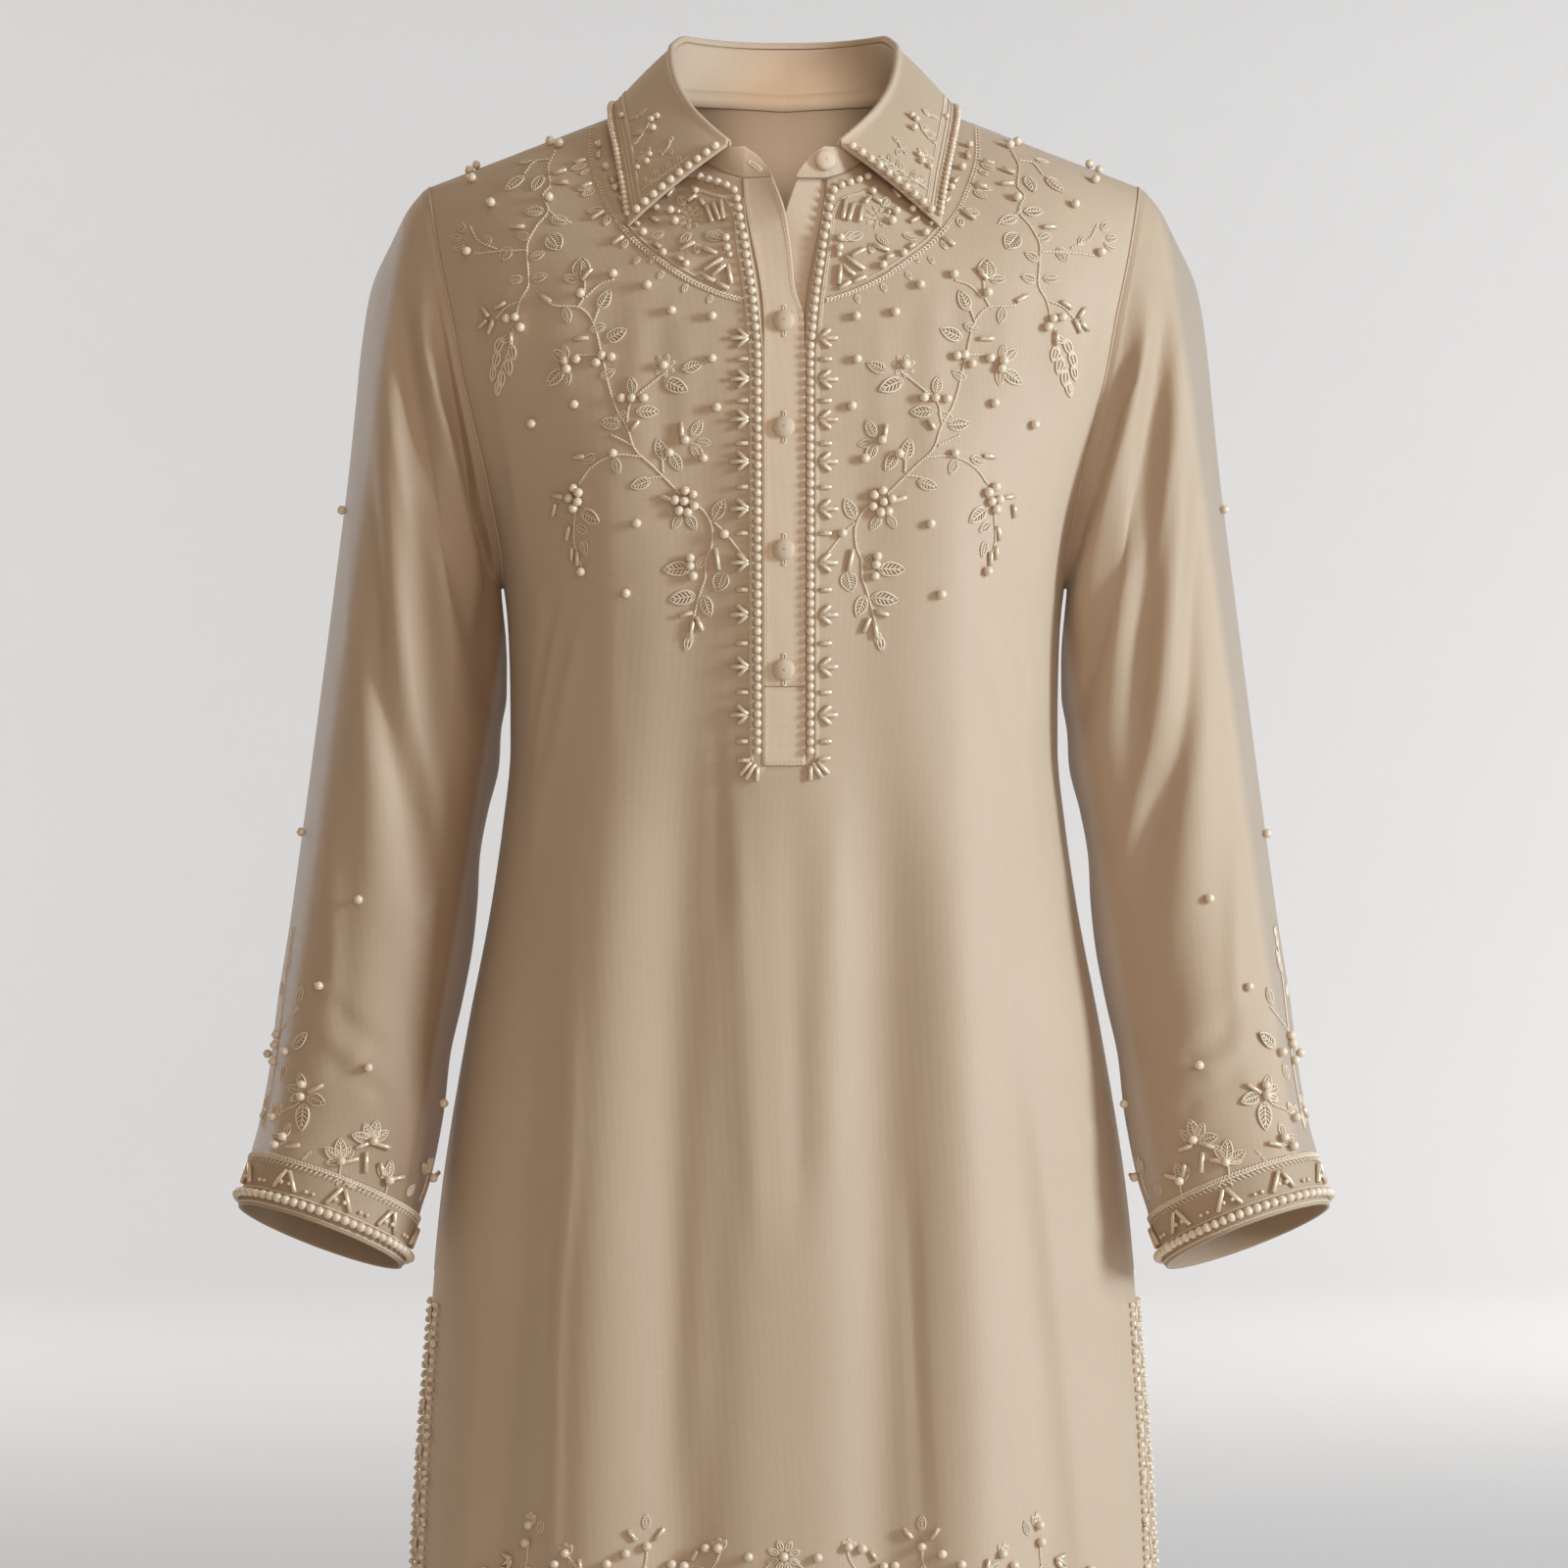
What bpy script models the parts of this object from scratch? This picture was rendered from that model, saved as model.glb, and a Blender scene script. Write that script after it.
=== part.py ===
"""Long tunic with a shirt collar, half placket and set-in sleeves, worn form, as separate cloth walls.

Sizes are in millimetres and are turned into metres where a mesh is made. +Z is up, the front faces -Y, and
the wearer's left is +X. The origin is midway between the two points where shoulder and neck meet.
"""

import math
from collections import namedtuple

import bmesh
import bpy
import numpy as np
from mathutils import Vector

MM = 0.001
GARMENT = "long_tunic_with_shirt_collar"

# Cloth
WALL = 1.5
COLLAR_WALL = 1.2
BAND_WALL = 2.0
SEAM_GAP = 0.3

# Shoulders and neck
NECK_HALF = 69.0
NECK_SEAM_Y = 12.0
SHOULDER_HALF = 208.0
SHOULDER_FALL = 55.0
SHOULDER_SEAM_Y = 2.0
SHOULDER_ROUND = 110.0
FRONT_NECK_DROP = 61.0
BACK_NECK_RISE = 1.0

# Length, armholes and side slits
HEM_Z = -905.0
UNDERARM_Z = -290.0
SIDE_SLIT_Z = -690.0
SLIT_SPREAD = 9.0

# Placket
PLACKET_HALF = 12.0
PLACKET_TOP_HALF = 24.0
PLACKET_TOP_Z = -57.0
PLACKET_SPREAD_Z = -150.0
PLACKET_END_Z = -395.0
BOX_HEIGHT = 45.0
PLACKET_PROUD = 0.4
UNDER_DEPTH = 2.2
UNDER_TUCK = 3.0

# Buttons
BUTTON_RADIUS = 6.2
BUTTON_DOME = 3.0
BUTTON_HEIGHTS = (-141.0, -202.0, -272.0, -340.0)
COLLAR_BUTTON_X = 22.5
COLLAR_BUTTON_RISE = 10.0

# Sections of the body by height: half width at the sides, depth of the front and of the back from the sides
Section = namedtuple("Section", "z half_width front back")
BODY_SECTIONS = (
    Section(-905, 219, 132, 119),
    Section(-820, 214.5, 128, 114),
    Section(-745, 209, 124, 110),
    Section(-641, 200, 118, 105),
    Section(-548, 185, 113, 99),
    Section(-475, 171, 111, 94),
    Section(-430, 164.5, 112, 91),
    Section(-383, 160, 114.5, 90),
    Section(-335, 160.5, 118, 93),
    Section(-290, 164, 120, 97),
    Section(-250, 173.5, 118, 100),
    Section(-221, 185, 115, 102),
    Section(-193, 196, 112, 103),
    Section(-150, 212, 105, 105),
    Section(-110, 223, 99, 104),
    Section(-86, 229, 96, 102),
    Section(-57, 240, 92, 99),
    Section(30, 256, 84, 95),
)
SECTION_POWER = 2.2

# The armhole seam seen from the front
Armhole = namedtuple("Armhole", "z x")
ARMHOLE = (
    Armhole(-290, 164),
    Armhole(-282, 164),
    Armhole(-269, 165),
    Armhole(-250, 168.3),
    Armhole(-221, 174),
    Armhole(-193, 180.5),
    Armhole(-167, 186.5),
    Armhole(-136, 192),
    Armhole(-104, 199),
    Armhole(-83, 203),
    Armhole(-55, 208),
)

# Long folds from the bust down: where each starts and meets the hem, its half width and how far it stands out
Fold = namedtuple("Fold", "x_top x_hem half_width height z_start z_full")
FRONT_FOLDS = (
    Fold(-141, -168, 16, -7.0, -430, -680),
    Fold(-104, -110, 30, 4.5, -150, -250),
    Fold(-107, -118, 22, 4.0, -350, -500),
    Fold(-50, -56, 22, -3.5, -150, -250),
    Fold(-59, -59, 24, -5.5, -330, -480),
    Fold(44, 54, 20, -2.5, -150, -250),
    Fold(58, 58, 22, -6.0, -350, -480),
    Fold(98, 104, 34, 6.5, -150, -250),
    Fold(100, 114, 20, 6.0, -360, -510),
    Fold(122, 158, 12, -4.0, -470, -620),
)
BACK_FOLDS = (
    Fold(-146, -150, 22, -6.0, -400, -760),
    Fold(-98, -96, 26, 5.0, -430, -800),
    Fold(-58, -62, 18, -6.5, -360, -720),
    Fold(-8, -4, 24, 4.0, -390, -760),
    Fold(34, 44, 17, -7.0, -380, -760),
    Fold(82, 88, 24, 4.5, -420, -780),
    Fold(130, 138, 20, -6.0, -400, -720),
)

# Rings of a sleeve from the cap to the wrist: the two points where the outline turns, the half depth from
# front to back, how far forward the middle lies, and how much of the armhole's own shape is left
Ring = namedtuple("Ring", "outer_x outer_z inner_x inner_z half_depth forward armhole_share")
SLEEVE_RINGS = (
    Ring(212, -57.5, 165.8, -291.0, 50, 0, 1.0),
    Ring(221, -69, 167.8, -297, 52, 0, 0.75),
    Ring(230, -87, 169.5, -307, 54.5, 0, 0.45),
    Ring(241.5, -113, 170, -320, 57, 0, 0.2),
    Ring(247.5, -147, 170, -336, 58.5, 0, 0.06),
    Ring(251.5, -187, 169.5, -354, 59, 0, 0),
    Ring(256, -230, 168.5, -374, 58.5, 0, 0),
    Ring(261.5, -274, 169, -397, 58, 1, 0),
    Ring(267, -318, 173.5, -421, 57, 2, 0),
    Ring(272.5, -361, 178, -446, 56, 3, 0),
    Ring(278, -404, 179.5, -473, 55, 5, 0),
    Ring(283.5, -447, 182.5, -502, 54, 9, 0),
    Ring(289, -490, 188, -532, 52, 15, 0),
    Ring(295, -531, 194.5, -562, 50, 22, 0),
    Ring(299, -570, 198, -596, 48, 31, 0),
    Ring(304.5, -602, 204.5, -631, 46, 39, 0),
    Ring(308, -616.5, 210.5, -651, 44.5, 44, 0),
    Ring(308.7, -620, 211.5, -655, 44.2, 45, 0),
)
# Diagonal folds of the sleeve front, by ring number and by angle from the outer edge towards the front
SleeveFold = namedtuple("SleeveFold", "ring_from ring_to angle_from angle_to half_angle height")
SLEEVE_FOLDS = (
    SleeveFold(2, 9, 88, 142, 15, 4.0),
    SleeveFold(2, 9, 62, 118, 13, -3.0),
    SleeveFold(3, 15, 48, 104, 16, 3.0),
    SleeveFold(5, 14, 92, 128, 13, -3.0),
    SleeveFold(3, 10, 232, 205, 16, -3.0),
    SleeveFold(4, 13, 262, 300, 18, 3.0),
)
CUFF_HEIGHT = 30.0
CUFF_LEAN = math.radians(15.5)
CUFF_FORWARD = 8.0
CUFF_NARROWING = 0.965

# Half of the collar, from the middle of the back (0) to the front end of the fall (1): the crest where it
# folds over, and the outer edge of the fall, which rests just off the shoulder and chest
Collar = namedtuple("Collar", "along fold_x fold_y fold_z edge_x edge_y edge_z")
COLLAR = (
    Collar(0.0, 0, 62, 37, 0, 77, -9),
    Collar(0.08, 15, 61.4, 37.1, 21.5, 74.5, -8.5),
    Collar(0.17, 32, 58, 37.5, 45, 63.5, -7.5),
    Collar(0.33, 58, 39, 38.5, 83.5, 42, -7),
    Collar(0.4, 63.5, 26, 35, 93.5, 27, -6.5),
    Collar(0.47, 66.5, 12, 29, 101, 12, -8.2),
    Collar(0.535, 66, -2, 20, 102.6, -2, -12),
    Collar(0.6, 64, -16, 10, 102.3, -15.5, -18.8),
    Collar(0.75, 56, -42, -8, 98.6, -43.5, -39),
    Collar(0.9, 43.5, -60, -23, 93.5, -67, -65.5),
    Collar(1.0, 31.6, -71, -34, 90.4, -81.5, -85.4),
)
ROLL = 1.9
COLLAR_STEP = 10.0
FALL_END_X = 31.0
# The round front ends of the stand, from the end of the fall to the placket edge
StandEnd = namedtuple("StandEnd", "base_x top_x top_z")
STAND_ENDS = (
    StandEnd(24.0, 23.0, -38.0),
    StandEnd(17.0, 15.5, -42.5),
    StandEnd(11.0, 10.0, -48.5),
    StandEnd(7.2, 7.0, -56.0),
)

# Free edges of the two plackets: how far each reaches past the middle, by height
FreeEdge = namedtuple("FreeEdge", "z over under")
FREE_EDGES = (
    FreeEdge(-350, 11.7, -9),
    FreeEdge(-155, 11.7, -9),
    FreeEdge(-138, 11.2, -8.5),
    FreeEdge(-124, 6.8, -7.5),
    FreeEdge(-99, 3.9, -5),
    FreeEdge(-76, 0, 1),
    FreeEdge(-57, -6.8, 7.2),
)
OVER_LIFT = 3.0
UNDER_SINK = 1.0

# Colours of the cloth pieces
BODY_COLOUR = (0.49, 0.37, 0.26)
SLEEVE_COLOUR = (0.52, 0.39, 0.28)
COLLAR_COLOUR = (0.55, 0.42, 0.29)
PLACKET_COLOUR = (0.56, 0.42, 0.29)
BUTTON_COLOUR = (0.50, 0.36, 0.23)
CLOTH_ROUGHNESS = 0.75

# Columns of a panel, as places along its top edge from the middle to the shoulder point
TOP_EDGE_X = (31, 42, 54, 63, 69, 84, 108, 135, 162, 188, 204, 208)
# Rows of a panel below the underarm by height, and above it as shares of the armhole's height
LOWER_ROWS = (
    -905, -901, -858, -810, -762, -722, -690, -650, -605, -560, -515, -475, -435, -398, -395, -363, -328, -302, -294,
)
UPPER_ROWS = (0, 0.015, 0.055, 0.12, 0.21, 0.31, 0.41, 0.51, 0.61, 0.7, 0.785, 0.86, 0.92, 0.965, 0.992, 0.9996, 1)


def smooth(rows, key, value):
    """A smooth curve through one column of a table, read by another column that rises or falls evenly.
    Its slopes are held down where they would carry it past the rows."""
    at = np.array([getattr(row, key) for row in rows], float)
    to = np.array([getattr(row, value) for row in rows], float)
    slopes = np.gradient(to, at)
    secants = np.diff(to) / np.diff(at)
    for i, slope in enumerate(slopes):
        beside = secants[max(i - 1, 0) : i + 1]
        most = 3 * min(abs(beside)) if len({math.copysign(1, b) for b in beside}) == 1 else 0.0
        slopes[i] = math.copysign(min(abs(slope), most), slope)

    def read(x):
        x = min(max(x, at[0]), at[-1])
        i = min(int(np.searchsorted(at, x, side="right")) - 1, len(at) - 2)
        step = at[i + 1] - at[i]
        t = (x - at[i]) / step
        return float(
            to[i] * (1 + 2 * t) * (1 - t) ** 2
            + slopes[i] * step * t * (1 - t) ** 2
            + to[i + 1] * t * t * (3 - 2 * t)
            + slopes[i + 1] * step * t * t * (t - 1)
        )

    return read


def eased(x, start, end):
    """0 at start, 1 at end and soft between."""
    t = min(max((x - start) / (end - start), 0.0), 1.0)
    return t * t * (3 - 2 * t)


def mixed(a, b, share):
    return a + (b - a) * share


half_width = smooth(BODY_SECTIONS, "z", "half_width")
front_depth = smooth(BODY_SECTIONS, "z", "front")
back_depth = smooth(BODY_SECTIONS, "z", "back")
armhole_x = smooth(ARMHOLE, "z", "x")
over_edge_x = smooth(FREE_EDGES, "z", "over")
under_edge_x = smooth(FREE_EDGES, "z", "under")


def shoulder_z(x):
    return -(abs(x) - NECK_HALF) * SHOULDER_FALL / (SHOULDER_HALF - NECK_HALF)


def shoulder_y(x):
    share = min(max((abs(x) - NECK_HALF) / (SHOULDER_HALF - NECK_HALF), 0.0), 1.0)
    return mixed(NECK_SEAM_Y, SHOULDER_SEAM_Y, share)


def shoulder_room(side, x):
    """From the shoulder line to a panel's edge. The front leans more near the neck, so its wall needs more."""
    return mixed(0.5, 0.2, eased(abs(x), NECK_HALF, 170)) if side < 0 else SEAM_GAP / 2


def slit_half(z):
    """Half the width of the slit that the placket fills. It spreads towards the open neck."""
    return mixed(PLACKET_HALF, PLACKET_TOP_HALF, eased(z, PLACKET_SPREAD_Z, PLACKET_TOP_Z) ** 1.3)


def fold_height(folds, x, z):
    """How far the long folds push the cloth out at this place."""
    total = 0.0
    for fold in folds:
        down = eased(-z, -fold.z_start, -fold.z_full)
        middle = mixed(fold.x_top, fold.x_hem, eased(-z, -fold.z_start, -HEM_Z))
        total += fold.height * down * math.exp(-(((x - middle) / fold.half_width) ** 2))
    return total


def body_point(side, x, z):
    """The outer face of the body, with side -1 for the front and +1 for the back."""
    depth = front_depth(z) if side < 0 else back_depth(z)
    across = min(abs(x) / half_width(z), 1.0)
    section = (1 - across**SECTION_POWER) ** (1 / SECTION_POWER)
    drop = min(max((shoulder_z(x) - z) / SHOULDER_ROUND, 0.0), 1.0)
    power = 2.0 if side > 0 else mixed(1.4, 2.0, eased(abs(x), NECK_HALF, 170))
    rise = (1 - (1 - drop) ** power) ** (1 / power)
    y = shoulder_y(x) * (1 - rise) + side * depth * section * rise
    out = fold_height(FRONT_FOLDS if side < 0 else BACK_FOLDS, x, z) * (1 - across**8)
    return np.array([x + out * across**3 * math.copysign(1, x), y + side * out * (1 - across**3), z])


def neckline_z(side, x):
    """Height of the neckline over the half width of the neck."""
    share = min(abs(x) / NECK_HALF, 1.0)
    if side > 0:
        return BACK_NECK_RISE * (1 - share**2)
    return -FRONT_NECK_DROP * math.sqrt(1 - share**2)


def top_edge_z(side, x):
    if abs(x) >= NECK_HALF:
        return shoulder_z(x)
    return max(neckline_z(side, x), PLACKET_TOP_Z) if side < 0 else neckline_z(side, x)


def angle_of(x, z):
    """Place of x around the body's section, from 0 at the middle to a quarter turn at the side."""
    return math.asin(min(x / half_width(z), 1.0) ** (SECTION_POWER / 2))


def panel_half(side):
    """Rows of points from the middle to the side of one panel, from hem to shoulder, for x above 0."""
    middle_x = PLACKET_TOP_HALF if side < 0 else 16.0
    top_x = (middle_x, *TOP_EDGE_X)
    last = len(top_x) - 1
    top_angle = [angle_of(x, -SHOULDER_FALL) for x in top_x]
    top_share = [(a - top_angle[0]) / (top_angle[-1] - top_angle[0]) for a in top_angle]
    even_share = [min(j / (last - 0.8), 1.0) for j in range(last + 1)]
    even_share[-2] = 0.972
    rows = []
    levels = [(z, None) for z in LOWER_ROWS] + [(None, share) for share in UPPER_ROWS]
    for level_z, share in levels:
        upper = share is not None
        outer_z = mixed(UNDERARM_Z, -SHOULDER_FALL, share) if upper else level_z
        middle_z = mixed(UNDERARM_Z, top_edge_z(side, middle_x), share) if upper else level_z
        inner_x = slit_half(middle_z) if side < 0 else mixed(12.0, middle_x, eased(outer_z, -400, -60))
        opened = eased(-outer_z, -SIDE_SLIT_Z, -HEM_Z) if outer_z < SIDE_SLIT_Z else 0.0
        edge_y = SEAM_GAP / 2 + SLIT_SPREAD * opened
        depth = front_depth(outer_z) if side < 0 else back_depth(outer_z)
        last_angle = math.acos((edge_y / depth) ** (SECTION_POWER / 2))
        if upper and share > 0:
            last_angle = angle_of(armhole_x(outer_z), outer_z)
        first_angle = angle_of(inner_x, outer_z)
        even = 1 - eased(outer_z, -420, -190)
        row = []
        for j in range(last + 1):
            angle = mixed(first_angle, last_angle, mixed(top_share[j], even_share[j], even))
            x = half_width(outer_z) * math.sin(angle) ** (2 / SECTION_POWER)
            z = mixed(UNDERARM_Z, top_edge_z(side, top_x[j]), share) if upper else level_z
            point = body_point(side, x, z)
            if upper and share == 1 and top_x[j] >= NECK_HALF:
                point[1] = shoulder_y(x) + side * shoulder_room(side, x)
            if j == last and not (upper and 0 < share < 1):
                point[0] = x
                point[1] = side * max(abs(point[1] * side), edge_y) if not upper else point[1]
            if j == last and upper and share == 0:
                point[1] = side * SEAM_GAP / 2
            row.append(point)
        rows.append(row)
    return rows


def mirrored(point):
    return np.array([-point[0], point[1], point[2]])


def panel_rows(side):
    """Full rows of a panel from the left of the view to the right, with the column on the middle line.
    The folds differ left and right, so the left half is worked out again at its own places."""
    rows = []
    for half in panel_half(side):
        left = []
        for point in reversed(half):
            flat = body_point(side, point[0], point[2])
            twin = body_point(side, -point[0], point[2])
            left.append(np.array([-point[0] - (twin[0] * -1 - flat[0]), point[1] + twin[1] - flat[1], point[2]]))
        middle = body_point(side, 0.0, half[0][2])
        rows.append(left + [middle] + half)
    return rows


# ---------------------------------------------------------------- meshes


def material(name, colour):
    made = bpy.data.materials.new(name)
    made.use_nodes = True
    shader = made.node_tree.nodes["Principled BSDF"]
    shader.inputs["Base Color"].default_value = (*colour, 1)
    shader.inputs["Roughness"].default_value = CLOTH_ROUGHNESS
    shader.inputs["Metallic"].default_value = 0.0
    return made


def sheet_mesh(rows, closed=False, holes=()):
    """A grid of quads with its corners at rows of points. A closed one joins its last column to its first,
    and holes lists the (row, column) cells that are left out."""
    count_u = len(rows[0]) + (1 if closed else 0)
    count_v = len(rows)
    grid = bmesh.new()
    bmesh.ops.create_grid(grid, x_segments=count_u - 1, y_segments=count_v - 1, size=1.0)
    cells = {}
    for vert in grid.verts:
        u = round((vert.co.x + 1) / 2 * (count_u - 1))
        v = round((vert.co.y + 1) / 2 * (count_v - 1))
        cells[vert] = (v, u)
        vert.co = Vector(rows[v][u % len(rows[v])] * MM)
    if holes:
        gone = [f for f in grid.faces if min(cells[vert] for vert in f.verts) in holes]
        bmesh.ops.delete(grid, geom=gone, context="FACES")
        loose = [vert for vert in grid.verts if not vert.link_faces]
        bmesh.ops.delete(grid, geom=loose, context="VERTS")
    if closed:
        bmesh.ops.remove_doubles(grid, verts=grid.verts, dist=1e-6)
    return grid


def shell(name, grid, wall, colour, collection, flip=False):
    """One cloth wall: the grid is its outer face and the thickness goes inwards."""
    if flip:
        bmesh.ops.reverse_faces(grid, faces=grid.faces)
    mesh = bpy.data.meshes.new(name)
    grid.to_mesh(mesh)
    grid.free()
    mesh.shade_smooth()
    made = bpy.data.objects.new(name, mesh)
    collection.objects.link(made)
    mesh.materials.append(material(name, colour))
    solidify = made.modifiers.new("cloth wall", "SOLIDIFY")
    solidify.thickness = wall * MM
    solidify.offset = -1.0
    return made


def build_front(collection):
    rows = panel_rows(-1)
    middle = len(rows[0]) // 2
    first_open = LOWER_ROWS.index(PLACKET_END_Z)
    holes = {(v, u) for v in range(first_open, len(rows)) for u in (middle - 1, middle)}
    shell("front", sheet_mesh(rows, holes=holes), WALL, BODY_COLOUR, collection)
    return rows


def build_back(collection):
    rows = panel_rows(1)
    shell("back", sheet_mesh([row[::-1] for row in rows]), WALL, BODY_COLOUR, collection)
    return rows


# ---------------------------------------------------------------- sleeves


def armhole_ring(front_rows, back_rows):
    """The seam of the wearer's left armhole, from the underarm up the front and down the back."""
    first = len(LOWER_ROWS)
    front = [row[-1] for row in front_rows[first:]]
    back = [row[-1] for row in back_rows[first:]]
    underarm = (front[0] + back[0]) / 2
    shoulder = (front[-1] + back[-1]) / 2
    return [underarm, *front[1:-1], shoulder, *back[-2:0:-1]]


def ring_angles(ring):
    """Angle of each point of the armhole around a sleeve: 180 at the underarm, 0 at the shoulder point."""
    steps = [float(np.linalg.norm(b - a)) for a, b in zip(ring, ring[1:] + ring[:1])]
    top = max(range(len(ring)), key=lambda i: ring[i][2])
    angles = []
    for i in range(len(ring)):
        if i <= top:
            angles.append(math.pi * (1 - sum(steps[:i]) / sum(steps[:top])))
        else:
            angles.append(-math.pi * sum(steps[top:i]) / sum(steps[top:]))
    return angles


def sleeve_fold(number, angle):
    """How far the folds of a sleeve push it out, at this ring and angle."""
    total = 0.0
    degrees = math.degrees(angle) % 360
    for fold in SLEEVE_FOLDS:
        along = (number - fold.ring_from) / (fold.ring_to - fold.ring_from)
        if 0 <= along <= 1:
            middle = mixed(fold.angle_from, fold.angle_to, along)
            swell = math.sin(math.pi * along) ** 0.6
            total += fold.height * swell * math.exp(-(((degrees - middle) / fold.half_angle) ** 2))
    return total


def ring_points(ring, tilt, angles, seam, number):
    """Points of one sleeve ring for the wearer's left sleeve."""
    outer = np.array([ring.outer_x, 0.0, ring.outer_z])
    inner = np.array([ring.inner_x, 0.0, ring.inner_z])
    centre = (outer + inner) / 2 - np.array([0.0, ring.forward, 0.0])
    across = (outer - inner) / 2
    ahead = np.array([0.0, -math.cos(tilt), math.sin(tilt)]) * ring.half_depth
    seam_centre = (seam[0] + max(seam, key=lambda p: p[2])) / 2
    points = []
    for angle, seam_point in zip(angles, seam):
        round_point = centre + across * math.cos(angle) + ahead * math.sin(angle)
        own = seam_point - seam_centre
        own_point = centre + across * float(own @ (seam[0] - seam_centre)) / float(
            (seam[0] - seam_centre) @ (seam[0] - seam_centre)
        ) * -1 + np.array([0.0, own[1], 0.0])
        point = mixed(round_point, own_point, ring.armhole_share)
        out = point - centre
        point = point + out / np.linalg.norm(out) * sleeve_fold(number, angle)
        points.append(point)
    return points


def sleeve_rows(seam):
    angles = ring_angles(seam)
    start = [point + np.array([SEAM_GAP * 1.8, 0, 0.1]) for point in seam]
    rows = [start]
    for number, ring in enumerate(SLEEVE_RINGS):
        near = SLEEVE_RINGS[max(number - 1, 0)]
        far = SLEEVE_RINGS[min(number + 1, len(SLEEVE_RINGS) - 1)]
        fall = (near.outer_z + near.inner_z - far.outer_z - far.inner_z) / 2
        tilt = math.atan((far.forward - near.forward) / fall)
        rows.append(ring_points(ring, tilt, angles, seam, number))
    return rows


def cuff_rows(last_row):
    """The band that carries on from the last ring of the sleeve, leaning out and forwards as it goes down."""
    centre = sum(last_row) / len(last_row)
    down = np.array([math.sin(CUFF_LEAN), 0.0, -math.cos(CUFF_LEAN)]) * CUFF_HEIGHT
    down = down - np.array([0.0, CUFF_FORWARD, 0.0])
    step = down / np.linalg.norm(down)
    rows = []
    for share in (0.0, 0.5, 1.0):
        size = mixed(1.0, CUFF_NARROWING, share)
        start = step * (SEAM_GAP + 0.1)
        rows.append([centre + (point - centre) * size * 1.004 + start + down * share for point in last_row])
    return rows


def build_sleeve(name, cuff_name, seam, side, collection):
    rows = sleeve_rows(seam)
    bands = cuff_rows(rows[-1])
    if side < 0:
        rows = [[mirrored(point) for point in row] for row in rows]
        bands = [[mirrored(point) for point in row] for row in bands]
    shell(name, sheet_mesh(rows, closed=True), WALL, SLEEVE_COLOUR, collection, flip=side > 0)
    shell(cuff_name, sheet_mesh(bands, closed=True), BAND_WALL, SLEEVE_COLOUR, collection, flip=side > 0)


# ---------------------------------------------------------------- placket


def strip_rows(heights, left_x, right_x, columns, offset):
    """Rows of a placket strip that follows the front, moved out by offset(share across, height)."""
    rows = []
    for z in heights:
        row = []
        for j in range(columns + 1):
            share = j / columns
            point = body_point(-1, mixed(left_x(z), right_x(z), share), z)
            row.append(point - np.array([0.0, offset(share, z), 0.0]))
        rows.append(row)
    return rows


def build_placket(front_rows, collection):
    middle = len(front_rows[0]) // 2
    levels = [row[middle + 1][2] for row in front_rows]
    box_top = PLACKET_END_Z + BOX_HEIGHT
    above_box = [z for z in levels if z > box_top + 1]
    over_heights = [box_top + SEAM_GAP, *above_box]
    under_heights = [box_top + SEAM_GAP, *above_box]
    box_heights = [PLACKET_END_Z + SEAM_GAP, *[z for z in levels if PLACKET_END_Z + 1 < z < box_top - 1], box_top]

    def lifted(share, z):
        return PLACKET_PROUD + OVER_LIFT * share**2 * eased(z, -125, PLACKET_TOP_Z)

    def sunk(share, z):
        return -UNDER_DEPTH - UNDER_SINK * (1 - share) ** 2 * eased(z, -125, PLACKET_TOP_Z)

    over = strip_rows(over_heights, lambda z: SEAM_GAP - slit_half(z), over_edge_x, 4, lifted)
    under = strip_rows(under_heights, under_edge_x, lambda z: slit_half(z) + UNDER_TUCK, 4, sunk)
    box = strip_rows(
        box_heights,
        lambda z: SEAM_GAP - PLACKET_HALF,
        lambda z: PLACKET_HALF - SEAM_GAP,
        4,
        lambda share, z: PLACKET_PROUD,
    )
    shell("placket_over", sheet_mesh(over), WALL, PLACKET_COLOUR, collection)
    shell("placket_under", sheet_mesh(under), COLLAR_WALL, PLACKET_COLOUR, collection)
    shell("placket_box", sheet_mesh(box), WALL, PLACKET_COLOUR, collection)
    return over, under


# ---------------------------------------------------------------- collar


def filled(points, step):
    """The points with more between them, on the straight lines, until none are further apart than step."""
    out = [points[0]]
    for a, b in zip(points, points[1:]):
        parts = math.ceil(float(np.linalg.norm(b - a)) / step)
        out += [mixed(a, b, (i + 1) / parts) for i in range(parts)]
    return out


def neck_base(front_rows, back_rows):
    """Half of the seam under the stand, from the middle of the back to the end of the fall and on to the
    placket, with the direction in which the cloth would carry on past it."""
    middle = len(front_rows[0]) // 2
    neck_columns = 1 + TOP_EDGE_X.index(NECK_HALF)
    back = [back_rows[-1][middle + j] for j in range(neck_columns + 1)]
    back_below = [back_rows[-3][middle + j] for j in range(neck_columns + 1)]
    front = [front_rows[-1][middle + 1 + j] for j in range(neck_columns)]
    front_below = [front_rows[-3][middle + 1 + j] for j in range(neck_columns)]
    seam = back + front[::-1][1:]
    below = back_below + front_below[::-1][1:]
    base = []
    for i, (point, under) in enumerate(zip(seam, below)):
        along = seam[min(i + 1, len(seam) - 1)] - seam[max(i - 1, 0)]
        along = along / np.linalg.norm(along)
        onward = point - under
        onward = onward - along * float(onward @ along)
        onward = onward / np.linalg.norm(onward)
        base.append(point + onward * (SEAM_GAP + 0.1))
    return base


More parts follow.
